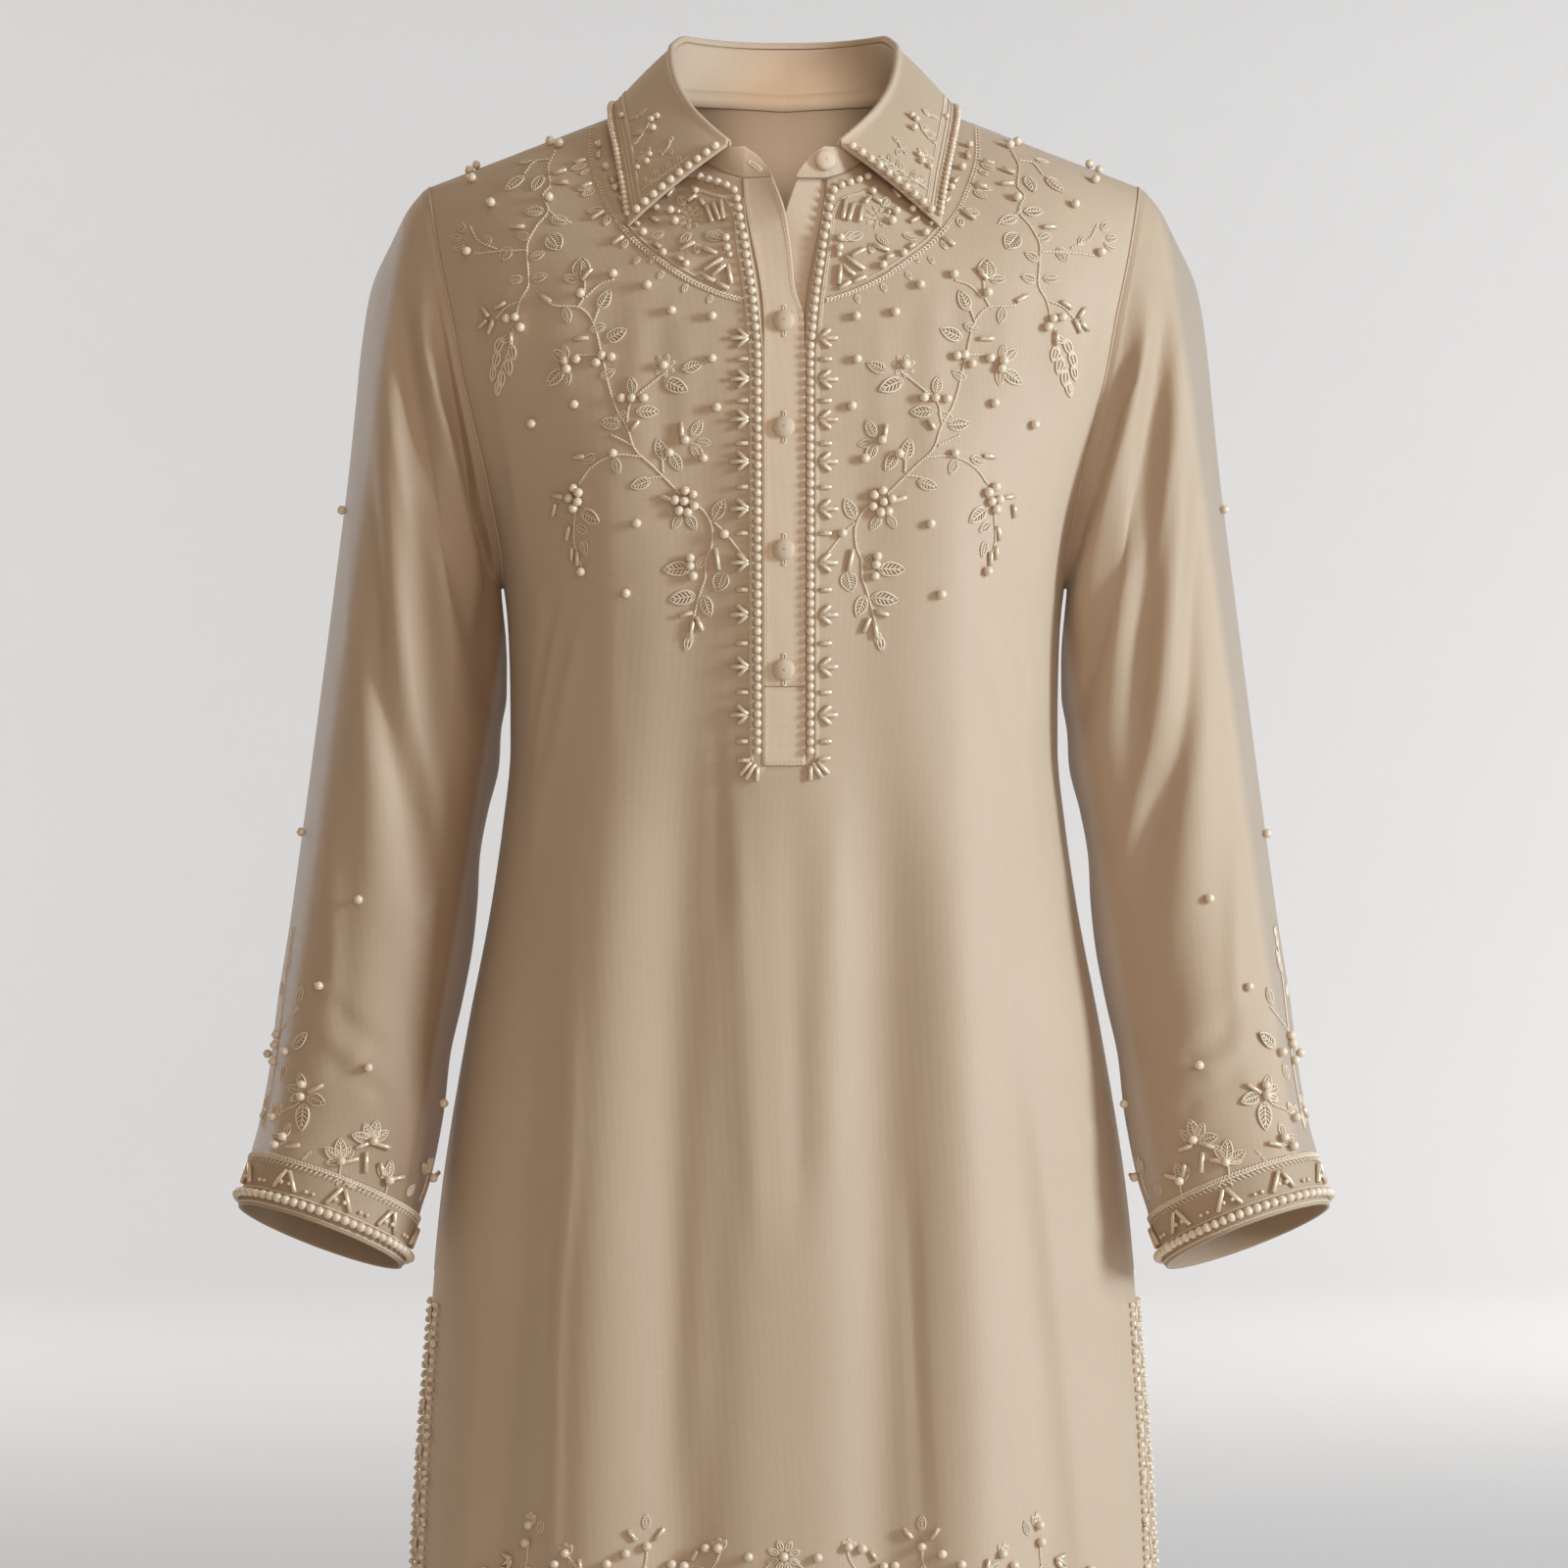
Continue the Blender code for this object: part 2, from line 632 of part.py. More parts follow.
def collar_frames(base):
    """For each place on the base: the crest above it, the way out from the neck, and how far along it is."""
    ends = [i for i, point in enumerate(base) if point[1] < 0 and point[0] <= FALL_END_X + 0.5]
    last = ends[0]
    lengths = np.cumsum([0.0] + [float(np.linalg.norm(b - a)) for a, b in zip(base, base[1:])])
    crest_at = [smooth(COLLAR, "along", "fold_" + axis) for axis in "xyz"]
    frames = []
    for i in range(last + 1):
        along = float(lengths[i] / lengths[last])
        crest = np.array([read(along) for read in crest_at])
        run = np.array([read(along + 0.02) - read(along - 0.02) for read in crest_at])
        out = np.array([-run[1], run[0], 0.0])
        out = out / np.linalg.norm(out)
        frames.append((along, crest, out))
    return frames, last


UP = np.array([0.0, 0.0, 1.0])
STAND_SHARES = (0.0, 0.12, 0.55, 0.88, 1.0)


def stand_column(base, top):
    """One column of the stand, from its seam up to its top edge."""
    return [mixed(base, top, share) for share in STAND_SHARES]


def fall_column(along, crest, out):
    """One column of the fall: up the inside from the stand, over the crest and down to the outer edge."""
    edge = np.array([smooth(COLLAR, "along", "edge_" + axis)(along) for axis in "xyz"])
    shoulder = crest + out * (ROLL + 0.6) - UP * 4.0
    pull = mixed(shoulder, edge, 0.5) + (out + UP * 0.6) * 3.2
    column = [
        crest - out * ROLL - UP * 4.0,
        crest - out * (ROLL - 0.4) - UP * 1.0,
        crest,
        crest + out * (ROLL - 0.4) - UP * 1.0,
        shoulder,
    ]
    for t in (0.3, 0.62, 0.9, 1.0):
        column.append(shoulder * (1 - t) ** 2 + pull * 2 * t * (1 - t) + edge * t * t)
    return column


def build_collar(front_rows, back_rows, over, under, collection):
    base = filled(neck_base(front_rows, back_rows), COLLAR_STEP)
    frames, last = collar_frames(base)
    stand = []
    fall = []
    for i, (along, crest, out) in enumerate(frames):
        top = crest - out * (ROLL - COLLAR_WALL) - UP * (4.0 + SEAM_GAP * 1.7)
        stand.append(stand_column(base[i], top))
        fall.append(fall_column(along, crest, out))
    fall_left = [[mirrored(p) for p in column] for column in fall[:0:-1]]
    stand_left = [[mirrored(p) for p in column] for column in stand[:0:-1]]
    right_end = stand_end_columns(under[-1], 1, frames[-1])
    left_end = stand_end_columns(over[-1], -1, frames[-1])
    columns = left_end[::-1] + stand_left + stand + right_end
    rows = [list(row) for row in zip(*columns)]
    shell("collar_stand", sheet_mesh(rows), COLLAR_WALL, COLLAR_COLOUR, collection, flip=True)
    fall_rows = [list(row) for row in zip(*(fall_left + fall))]
    shell("collar_fall", sheet_mesh(fall_rows), COLLAR_WALL, COLLAR_COLOUR, collection)
    return right_end


def stand_end_columns(placket_row, side, frame):
    """The round end of the stand over the placket's top edge, with side -1 for the over placket."""
    _, crest, out = frame
    columns = []
    for number, end in enumerate(STAND_ENDS):
        place = body_point(-1, side * end.base_x, PLACKET_TOP_Z)
        forward = PLACKET_PROUD - 0.4 + (OVER_LIFT if side < 0 else -0.6) * (number / (len(STAND_ENDS) - 1)) ** 2
        base = place + np.array([0.0, -forward, SEAM_GAP + 0.1])
        slope = (end.top_z - base[2]) / (crest[2] - base[2])
        crest_y = mixed(crest[1] - 1.0, base[1], 0.2)
        top = np.array([side * end.top_x, mixed(base[1], crest_y, slope), end.top_z])
        columns.append(stand_column(base, top))
    return columns


# ---------------------------------------------------------------- buttons


def build_button(name, place, facing, collection):
    """A round cloth-covered button: a flattened ball with its flat side to the cloth."""
    ball = bmesh.new()
    bmesh.ops.create_uvsphere(ball, u_segments=12, v_segments=6, radius=1.0)
    for vert in ball.verts:
        low = -0.35
        vert.co.z = max(vert.co.z, low) - low
    bmesh.ops.remove_doubles(ball, verts=ball.verts, dist=1e-6)
    for vert in ball.verts:
        vert.co = Vector((vert.co.x * BUTTON_RADIUS, vert.co.y * BUTTON_RADIUS, vert.co.z * BUTTON_DOME)) * MM
    mesh = bpy.data.meshes.new(name)
    ball.to_mesh(mesh)
    ball.free()
    mesh.shade_smooth()
    made = bpy.data.objects.new(name, mesh)
    collection.objects.link(made)
    mesh.materials.append(material(name, BUTTON_COLOUR))
    made.rotation_mode = "QUATERNION"
    made.rotation_quaternion = Vector((0, 0, 1)).rotation_difference(Vector(facing))
    made.location = Vector(place * MM)
    return made


def build_buttons(right_end, collection):
    for number, z in enumerate(BUTTON_HEIGHTS, 1):
        place = body_point(-1, 0.0, z)
        slope = body_point(-1, 0.0, z + 5) - body_point(-1, 0.0, z - 5)
        facing = np.cross(slope, [1.0, 0.0, 0.0])
        facing = -facing / np.linalg.norm(facing) * math.copysign(1, facing[1])
        lift = PLACKET_PROUD + SEAM_GAP + 0.15
        build_button(f"button_{number}", place + facing * lift, facing, collection)
    low, high = right_end[0][0], right_end[0][-1]
    share = COLLAR_BUTTON_RISE / float(np.linalg.norm(high - low))
    place = mixed(low, high, share)
    across = right_end[1][0] - right_end[0][0]
    facing = np.cross(high - low, across)
    facing = facing / np.linalg.norm(facing) * (-1 if facing[1] > 0 else 1)
    build_button("collar_button", place + facing * (SEAM_GAP + 0.25), facing, collection)


def main():
    for old in list(bpy.data.objects):
        bpy.data.objects.remove(old)
    collection = bpy.data.collections.new(GARMENT)
    bpy.context.scene.collection.children.link(collection)
    front_rows = build_front(collection)
    back_rows = build_back(collection)
    seam = armhole_ring(front_rows, back_rows)
    build_sleeve("sleeve_left", "cuff_band_left", seam, 1, collection)
    build_sleeve("sleeve_right", "cuff_band_right", seam, -1, collection)
    over, under = build_placket(front_rows, collection)
    right_end = build_collar(front_rows, back_rows, over, under, collection)
    build_buttons(right_end, collection)


main()
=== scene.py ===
import math

import bpy
import numpy as np
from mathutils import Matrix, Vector


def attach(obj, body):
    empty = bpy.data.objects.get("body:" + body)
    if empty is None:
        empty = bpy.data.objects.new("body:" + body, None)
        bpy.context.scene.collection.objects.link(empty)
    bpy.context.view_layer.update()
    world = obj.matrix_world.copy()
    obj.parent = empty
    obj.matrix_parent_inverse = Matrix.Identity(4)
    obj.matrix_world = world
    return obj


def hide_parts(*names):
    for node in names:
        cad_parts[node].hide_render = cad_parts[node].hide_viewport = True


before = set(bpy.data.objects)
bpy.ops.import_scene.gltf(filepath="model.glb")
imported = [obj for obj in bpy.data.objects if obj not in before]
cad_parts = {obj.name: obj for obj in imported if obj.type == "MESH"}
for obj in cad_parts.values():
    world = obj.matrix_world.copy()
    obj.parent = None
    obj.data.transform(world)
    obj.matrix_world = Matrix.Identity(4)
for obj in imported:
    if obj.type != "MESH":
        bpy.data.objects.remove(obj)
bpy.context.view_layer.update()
print("frame loaded")

# Lengths below are millimetres unless a name says otherwise. +Z is up, the front faces -Y.
mm = 0.001
rng = np.random.default_rng(11)
up = np.array([0.0, 0.0, 1.0])
rightward = np.array([1.0, 0.0, 0.0])


# ---- numbers and curves

def through(xs, ys):
    # a smooth curve through the given places, with no bump between them
    xs, ys = np.array(xs, float), np.array(ys, float)
    steps = np.diff(ys) / np.diff(xs)
    before = np.concatenate([steps[:1], steps])
    after = np.concatenate([steps, steps[-1:]])
    most = np.where(before * after > 0, 3 * np.minimum(abs(before), abs(after)), 0)
    slopes = np.gradient(ys, xs)
    slopes = np.sign(slopes) * np.minimum(abs(slopes), most)

    def read(x):
        x = np.clip(x, xs[0], xs[-1])
        i = np.clip(np.searchsorted(xs, x, side="right") - 1, 0, len(xs) - 2)
        step = xs[i + 1] - xs[i]
        t = (x - xs[i]) / step
        return (
            ys[i] * (1 + 2 * t) * (1 - t) ** 2
            + slopes[i] * step * t * (1 - t) ** 2
            + ys[i + 1] * t * t * (3 - 2 * t)
            + slopes[i + 1] * step * t * t * (t - 1)
        )

    return read


def eased(x, start, end):
    t = np.clip((x - start) / (end - start), 0.0, 1.0)
    return t * t * (3 - 2 * t)


def mixed(a, b, share):
    return a + (b - a) * share


def unit(v):
    v = np.asarray(v, float)
    return v / np.maximum(np.linalg.norm(v, axis=-1, keepdims=True), 1e-9)


def frontward(v):
    # the same line, turned to point to the front
    return v * -np.sign(v[..., 1:2])


def fullTurn(count):
    return np.arange(count) / count * 2 * math.pi


def alongOf(places):
    return unit(np.gradient(np.asarray(places, float), axis=0))


def lengthsAlong(line):
    return np.concatenate([[0], np.cumsum(np.linalg.norm(np.diff(line, axis=0), axis=1))])


def readAt(want, at, line):
    # the places on a line at the wanted lengths
    return np.stack([np.interp(want, at, line[:, k]) for k in range(line.shape[1])], axis=-1)


def spaced(points, step):
    # points at even steps along a smooth line through the given ones
    points = np.array(points, float)
    if len(points) > 2:
        at = lengthsAlong(points)
        fine = np.linspace(0, at[-1], 24 * len(points))
        points = np.stack([through(at, points[:, k])(fine) for k in range(points.shape[1])], axis=1)
    at = lengthsAlong(points)
    count = max(int(round(at[-1] / step)), 1)
    return readAt(np.linspace(0, at[-1], count + 1), at, points)


# ---- the body's form

body = {
    "neckHalf": 69.0,
    "neckSeamY": 12.0,
    "shoulderHalf": 208.0,
    "shoulderFall": 55.0,
    "shoulderSeamY": 2.0,
    "shoulderRound": 110.0,
    "frontNeckDrop": 61.0,
    "backNeckRise": 1.0,
    "hemZ": -905.0,
    "underarmZ": -290.0,
    "sideSlitZ": -690.0,
    "slitSpread": 9.0,
    "sectionPower": 2.2,
    "wall": 1.2,
    "seamGap": 0.3,
    # columns are evenly spaced below the first height and shaped to the neck above the second
    "evenColumnsZ": (-420, -190),
}
# the body by height: half width, then how far the front and the back stand out from the side line
sections = {
    "z": (-905, -820, -745, -641, -548, -475, -430, -383, -335,
          -290, -250, -221, -193, -150, -110, -86, -57, 30),
    "halfWidth": (219, 214.5, 209, 200, 185, 171, 164.5, 160, 160.5,
                  164, 173.5, 185, 196, 212, 223, 229, 240, 256),
    "front": (132, 128, 124, 118, 113, 111, 112, 114.5, 118,
              120, 118, 115, 112, 105, 99, 96, 92, 84),
    "back": (119, 114, 110, 105, 99, 94, 91, 90, 93,
             97, 100, 102, 103, 105, 104, 102, 99, 95),
}
armhole = {
    "z": (-290, -282, -269, -250, -221, -193, -167, -136, -104, -83, -55),
    "x": (164, 164, 165, 168.3, 174, 180.5, 186.5, 192, 199, 203, 208),
}
# long folds of the skirt: x at the top, x at the hem, half width, height, where it starts and is full
frontFolds = (
    (-141, -168, 16, -7.0, -430, -680),
    (-104, -110, 30, 4.5, -150, -250),
    (-107, -118, 22, 4.0, -350, -500),
    (-50, -56, 22, -3.5, -150, -250),
    (-59, -59, 24, -5.5, -330, -480),
    (44, 54, 20, -2.5, -150, -250),
    (58, 58, 22, -6.0, -350, -480),
    (98, 104, 34, 6.5, -150, -250),
    (100, 114, 20, 6.0, -360, -510),
    (122, 158, 12, -4.0, -470, -620),
)
backFolds = (
    (-146, -150, 22, -6.0, -400, -760),
    (-98, -96, 26, 5.0, -430, -800),
    (-58, -62, 18, -6.5, -360, -720),
    (-8, -4, 24, 4.0, -390, -760),
    (34, 44, 17, -7.0, -380, -760),
    (82, 88, 24, 4.5, -420, -780),
    (130, 138, 20, -6.0, -400, -720),
)
# creases in the cloth, each (height, half width, places along it as (x, z)); troughs are below 0
frontCreases = (
    (2.6, 5, ((-117, -426), (-120, -533), (-121, -617), (-127, -700), (-129, -801), (-131, -860),
              (-133, -915))),
    (1.4, 5, ((-176, -700), (-180, -767), (-184, -851), (-187, -915))),
    (1.4, 8, ((-28, -385), (-26, -440), (-22, -520), (-18, -600), (-14, -690))),
    (-2.0, 10, ((3, -385), (6, -430), (7, -520), (8, -600), (9, -690))),
    (-1.0, 5, ((-40, -350), (-38, -390), (-37, -440), (-37, -500))),
    (1.2, 8, ((30, -400), (29, -470), (28, -560), (27, -650))),
    (2.6, 13, ((-43, -400), (-46, -470), (-48, -560), (-50, -680), (-52, -860))),
    (-1.6, 6, ((70, -600), (74, -700), (78, -800), (84, -915))),
    (1.5, 5, ((140, -560), (150, -650), (163, -760), (172, -860), (174, -915))),
    # under the bust, running down from beside the sleeves
    (2.0, 4.5, ((-139, -284), (-140, -315), (-146, -358), (-150, -395))),
    (2.4, 4.5, ((-119, -278), (-131, -318), (-139, -361), (-143, -400), (-150, -455))),
    (2.0, 4.5, ((-110, -294), (-120, -333), (-129, -375), (-141, -425), (-147, -470))),
    (-2.0, 6, ((-129, -288), (-136, -322), (-143, -365))),
    (1.8, 4.5, ((137, -286), (139, -318), (144, -362), (148, -398))),
    (2.2, 4.5, ((118, -280), (129, -322), (137, -366), (143, -420), (150, -470))),
    (1.8, 5, ((106, -298), (117, -340), (127, -385), (136, -440))),
    (-2.0, 6, ((127, -290), (134, -326), (141, -370))),
    # beside the armhole
    (-1.8, 6, ((-183, -96), (-176, -150), (-166, -205), (-157, -262))),
    (1.6, 5, ((-172, -140), (-163, -200), (-152, -256), (-149, -300))),
    (-1.8, 6, ((184, -98), (177, -152), (167, -208), (158, -264))),
    (1.5, 5, ((171, -146), (162, -206), (152, -262), (150, -304))),
    # long soft gathers over the chest
    (0.8, 8, ((-160, -96), (-160, -136), (-157, -190))),
    (-0.7, 8, ((-146, -98), (-146, -140), (-143, -200))),
    (0.7, 8, ((-126, -90), (-127, -130), (-126, -196))),
    (-0.6, 8, ((-99, -100), (-99, -150), (-98, -220))),
    (0.7, 8, ((-84, -112), (-84, -160), (-82, -240))),
    (-0.6, 7, ((-70, -122), (-70, -170), (-69, -236))),
    (0.6, 8, ((-55, -126), (-56, -170), (-56, -240))),
    (0.7, 8, ((162, -98), (161, -140), (158, -188))),
    (-0.7, 8, ((148, -96), (148, -140), (146, -200))),
    (0.7, 8, ((126, -94), (127, -132), (126, -190))),
    (-0.6, 8, ((99, -104), (98, -146), (98, -220))),
    (0.8, 8, ((86, -110), (85, -156), (84, -236))),
    (-0.6, 8, ((70, -120), (71, -166), (70, -240))),
    (0.6, 7, ((54, -130), (55, -170), (55, -246))),
    (1.4, 12, ((95, -230), (98, -290), (100, -360), (104, -430))),
    (1.2, 9, ((-100, -210), (-101, -270), (-99, -330), (-100, -410))),
)
backCreases = (
    (2.2, 6, ((-118, -440), (-124, -560), (-130, -700), (-134, -915))),
    (-3.0, 12, ((-80, -300), (-76, -460), (-78, -640), (-82, -915))),
    (2.2, 6, ((-38, -330), (-34, -480), (-30, -700), (-28, -915))),
    (-2.4, 10, ((12, -320), (14, -470), (18, -640), (22, -860))),
    (2.4, 6, ((60, -410), (64, -560), (68, -720), (72, -915))),
    (-3.0, 12, ((104, -380), (108, -540), (112, -700), (116, -915))),
    (2.0, 6, ((150, -520), (160, -680), (170, -820), (176, -915))),
    (1.8, 7, ((-150, -250), (-128, -290), (-104, -320), (-74, -338))),
    (-1.8, 7, ((-152, -270), (-130, -310), (-100, -342), (-66, -360))),
    (1.8, 7, ((150, -246), (126, -286), (100, -318), (70, -334))),
    (-1.8, 7, ((152, -268), (128, -308), (98, -340), (62, -356))),
    (1.5, 9, ((-176, -130), (-166, -180), (-154, -230))),
    (1.5, 9, ((176, -134), (165, -186), (153, -236))),
    (1.3, 8, ((-60, -30), (-54, -90), (-50, -150))),
    (-1.3, 9, ((4, -24), (2, -90), (4, -170))),
    (1.3, 8, ((62, -34), (57, -94), (52, -156))),
)

halfWidth = through(sections["z"], sections["halfWidth"])
frontDepth = through(sections["z"], sections["front"])
backDepth = through(sections["z"], sections["back"])
armholeX = through(armhole["z"], armhole["x"])
front, back = -1, 1


def shoulderZ(x):
    drop = body["shoulderFall"] / (body["shoulderHalf"] - body["neckHalf"])
    return -(abs(x) - body["neckHalf"]) * drop


def shoulderY(x):
    share = np.clip((abs(x) - body["neckHalf"]) / (body["shoulderHalf"] - body["neckHalf"]), 0, 1)
    return mixed(body["neckSeamY"], body["shoulderSeamY"], share)


def creaseHeight(creases, x, z):
    # how far the creases push the cloth out; each fades at both ends and wavers a little in width
    total = np.zeros(np.broadcast(x, z).shape)
    for number, (height, width, places) in enumerate(creases):
        line = spaced(places, 9.0)
        low, high = line.min(axis=0) - 3 * width, line.max(axis=0) + 3 * width
        near = (x > low[0]) & (x < high[0]) & (z > low[1]) & (z < high[1])
        if not near.any():
            continue
        px, pz = np.broadcast_to(x, total.shape)[near], np.broadcast_to(z, total.shape)[near]
        best = np.full(px.shape, 1e9)
        share = np.zeros(px.shape)
        for i in range(len(line) - 1):
            a, b = line[i], line[i + 1] - line[i]
            t = np.clip(((px - a[0]) * b[0] + (pz - a[1]) * b[1]) / (b @ b), 0, 1)
            apart = (px - a[0] - b[0] * t) ** 2 + (pz - a[1] - b[1] * t) ** 2
            closer = apart < best
            best = np.where(closer, apart, best)
            share = np.where(closer, (i + t) / (len(line) - 1), share)
        fade = eased(share, 0, 0.3) * (1 - eased(share, 0.75, 1.0) * (places[-1][1] > -900))
        waver = 1 + 0.22 * np.sin(7 * share + 2.1 * number)
        total[near] += height * fade * np.exp(-best / (width * waver) ** 2)
    return total


def longFolds(folds, x, z):
    total = 0.0
    for top, hem, width, height, start, full in folds:
        middle = mixed(top, hem, eased(-z, -start, -body["hemZ"]))
        total = total + height * eased(-z, -start, -full) * np.exp(-(((x - middle) / width) ** 2))
    return total


def onBody(side, x, z, fine=True):
    # the outer face of the body at x and z
    x, z = np.broadcast_arrays(np.asarray(x, float), np.asarray(z, float))
    power = body["sectionPower"]
    depth = frontDepth(z) if side == front else backDepth(z)
    across = np.minimum(abs(x) / halfWidth(z), 1.0)
    section = (1 - across**power) ** (1 / power)
    drop = np.clip((shoulderZ(x) - z) / body["shoulderRound"], 0, 1)
    turn = 2.0 + 0 * x
    if side == front:
        turn = mixed(1.4, 2.0, eased(abs(x), body["neckHalf"], 170))
    rise = (1 - (1 - drop) ** turn) ** (1 / turn)
    y = shoulderY(x) * (1 - rise) + side * depth * section * rise
    out = longFolds(frontFolds if side == front else backFolds, x, z) * (1 - across**8)
    if fine:
        calm = eased(drop, 0.0, 0.25) * (1 - across**8)
        out = out + creaseHeight(frontCreases if side == front else backCreases, x, z) * calm
    bulge = across**3
    return np.stack([x + out * bulge * np.sign(x), y + side * out * (1 - bulge), z + 0 * x], axis=-1)


def necklineZ(side, x):
    share = np.minimum(abs(x) / body["neckHalf"], 1.0)
    if side == back:
        return body["backNeckRise"] * (1 - share**2)
    return -body["frontNeckDrop"] * np.sqrt(1 - share**2)


def topEdgeZ(side, x):
    neck = necklineZ(side, x)
    if side == front:
        neck = np.maximum(neck, placket["topZ"])
    return np.where(abs(x) >= body["neckHalf"], shoulderZ(x), neck)


def angleOf(x, z):
    return np.arcsin(np.minimum(x / halfWidth(z), 1.0) ** (body["sectionPower"] / 2))


# ---- placket sizes, which the front's slit follows

placket = {
    "half": 12.0,
    "topHalf": 24.0,
    "topZ": -57.0,
    "spreadZ": -150.0,
    "endZ": -395.0,
    "boxHeight": 45.0,
    "proud": 0.4,
    "underDepth": 2.2,
    "overLift": 3.0,
    "liftZ": -125.0,
    "boxHalf": 11.7,
    "columns": 22,
    "rowStep": 3.0,
}


def slitHalf(z):
    spread = eased(z, placket["spreadZ"], placket["topZ"]) ** 1.3
    return mixed(placket["half"], placket["topHalf"], spread)


# ---- meshes and materials

def linked(name, data):
    made = bpy.data.objects.new(name, data)
    bpy.context.scene.collection.objects.link(made)
    return made


def meshOf(name, points, faces):
    # faces all have the same number of corners; points that no face uses are left out
    used, corners = np.unique(faces, return_inverse=True)
    points = np.asarray(points, float)[used] * mm
    mesh = bpy.data.meshes.new(name)
    mesh.vertices.add(len(points))
    mesh.vertices.foreach_set("co", points.astype(np.float32).ravel())
    mesh.loops.add(faces.size)
    mesh.loops.foreach_set("vertex_index", corners.astype(np.int32).ravel())
    mesh.polygons.add(len(faces))
    mesh.polygons.foreach_set("loop_start", np.arange(len(faces), dtype=np.int32) * faces.shape[1])
    mesh.update(calc_edges=True)
    mesh.validate()
    mesh.shade_smooth()
    return linked(name, mesh)


def gridFaces(rows, columns, closed=False, keep=None):
    across = columns if closed else columns - 1
    row, column = np.meshgrid(np.arange(rows - 1), np.arange(across), indexing="ij")
    here, after = row * columns + column, row * columns + (column + 1) % columns
    faces = np.stack([here, after, after + columns, here + columns], axis=-1)
    return faces[keep] if keep is not None else faces.reshape(-1, 4)


def halved(quads):
    return np.concatenate([quads[:, [0, 1, 2]], quads[:, [0, 2, 3]]])


def sheetOf(name, grid, outward, closed=False, keep=None, wall=0.0):
    # a sheet of quads through rows of points; outward is a rough direction for its outer face
    faces = gridFaces(*grid.shape[:2], closed, keep)
    flat = grid.reshape(-1, 3)
    corners = flat[faces]
    normals = np.cross(corners[:, 2] - corners[:, 0], corners[:, 3] - corners[:, 1])
    facing = outward(corners.mean(axis=1)) if callable(outward) else np.array(outward, float)
    if (normals * facing).sum() < 0:
        faces = faces[:, ::-1]
    piece = meshOf(name, flat, faces)
    if wall:
        solid = piece.modifiers.new("cloth", "SOLIDIFY")
        solid.thickness = wall * mm
        solid.offset = -1.0
    return piece


def tubeOf(name, grid, wall=0.0):
    # a closed tube of points, which faces away from its own middle
    middle = grid.reshape(-1, 3).mean(axis=0)
    return sheetOf(name, grid, lambda centres: centres - middle, closed=True, wall=wall)


def carried(piece, slot, *nodes, look=None):
    # the material, the body, the slot and the solids a piece stands for
    piece.data.materials.append(look or slotCloths[slot])
    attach(piece, "root")
    if nodes:
        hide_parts(*nodes)


class Value:
    # a socket that can be used in sums
    def __init__(self, nodes, socket):
        self.nodes, self.socket = nodes, socket

    def made(self, operation, *values):
        return self.nodes.add("ShaderNodeMath", {"operation": operation}, dict(enumerate(values)))

    def __add__(self, other):
        return self.made("ADD", self, other)

    def __sub__(self, other):
        return self.made("SUBTRACT", self, other)

    def __rsub__(self, other):
        return self.made("SUBTRACT", other, self)

    def __mul__(self, other):
        return self.made("MULTIPLY", self, other)

    __radd__ = __add__
    __rmul__ = __mul__


class Nodes:
    # builds one material around its Principled shader
    def __init__(self, name, **constants):
        self.material = bpy.data.materials.new(name)
        self.material.use_nodes = True
        self.tree = self.material.node_tree
        self.shader = self.tree.nodes["Principled BSDF"]
        for socket, value in constants.items():
            self.shader.inputs[socket.replace("_", " ")].default_value = value

    def add(self, kind, settings=None, sockets=None, out=0):
        node = self.tree.nodes.new(kind)
        for key, value in (settings or {}).items():
            if key == "stops":
                ramp = node.color_ramp.elements
                while len(ramp) < len(value):
                    ramp.new(0.5)
                for stop, (place, colour) in zip(ramp, value):
                    stop.position, stop.color = place, (*colour, 1)
            else:
                setattr(node, key, value)
        for key, value in (sockets or {}).items():
            if isinstance(value, Value):
                self.tree.links.new(value.socket, node.inputs[key])
            else:
                node.inputs[key].default_value = value
        return Value(self, node.outputs[out])

    def place(self):
        return self.add("ShaderNodeTexCoord", out="Object")

    def axis(self, place, which):
        return self.add("ShaderNodeSeparateXYZ", {}, {0: place}, out=which)

    def noise(self, place, scale, detail=2.0, roughness=0.5):
        sockets = {"Vector": place, "Scale": scale, "Detail": detail, "Roughness": roughness}
        return self.add("ShaderNodeTexNoise", {}, sockets)

    def sine(self, value):
        return self.add("ShaderNodeMath", {"operation": "SINE"}, {0: value})

    def colours(self, share, *colours):
        stops = [(i / (len(colours) - 1), colour) for i, colour in enumerate(colours)]
        return self.add("ShaderNodeValToRGB", {"stops": stops}, {0: share})

    def feed(self, socket, value):
        self.tree.links.new(value.socket, self.shader.inputs[socket])

    def bump(self, height, strength, distance):
        sockets = {"Height": height, "Strength": strength, "Distance": distance}
        self.feed("Normal", self.add("ShaderNodeBump", {}, sockets))


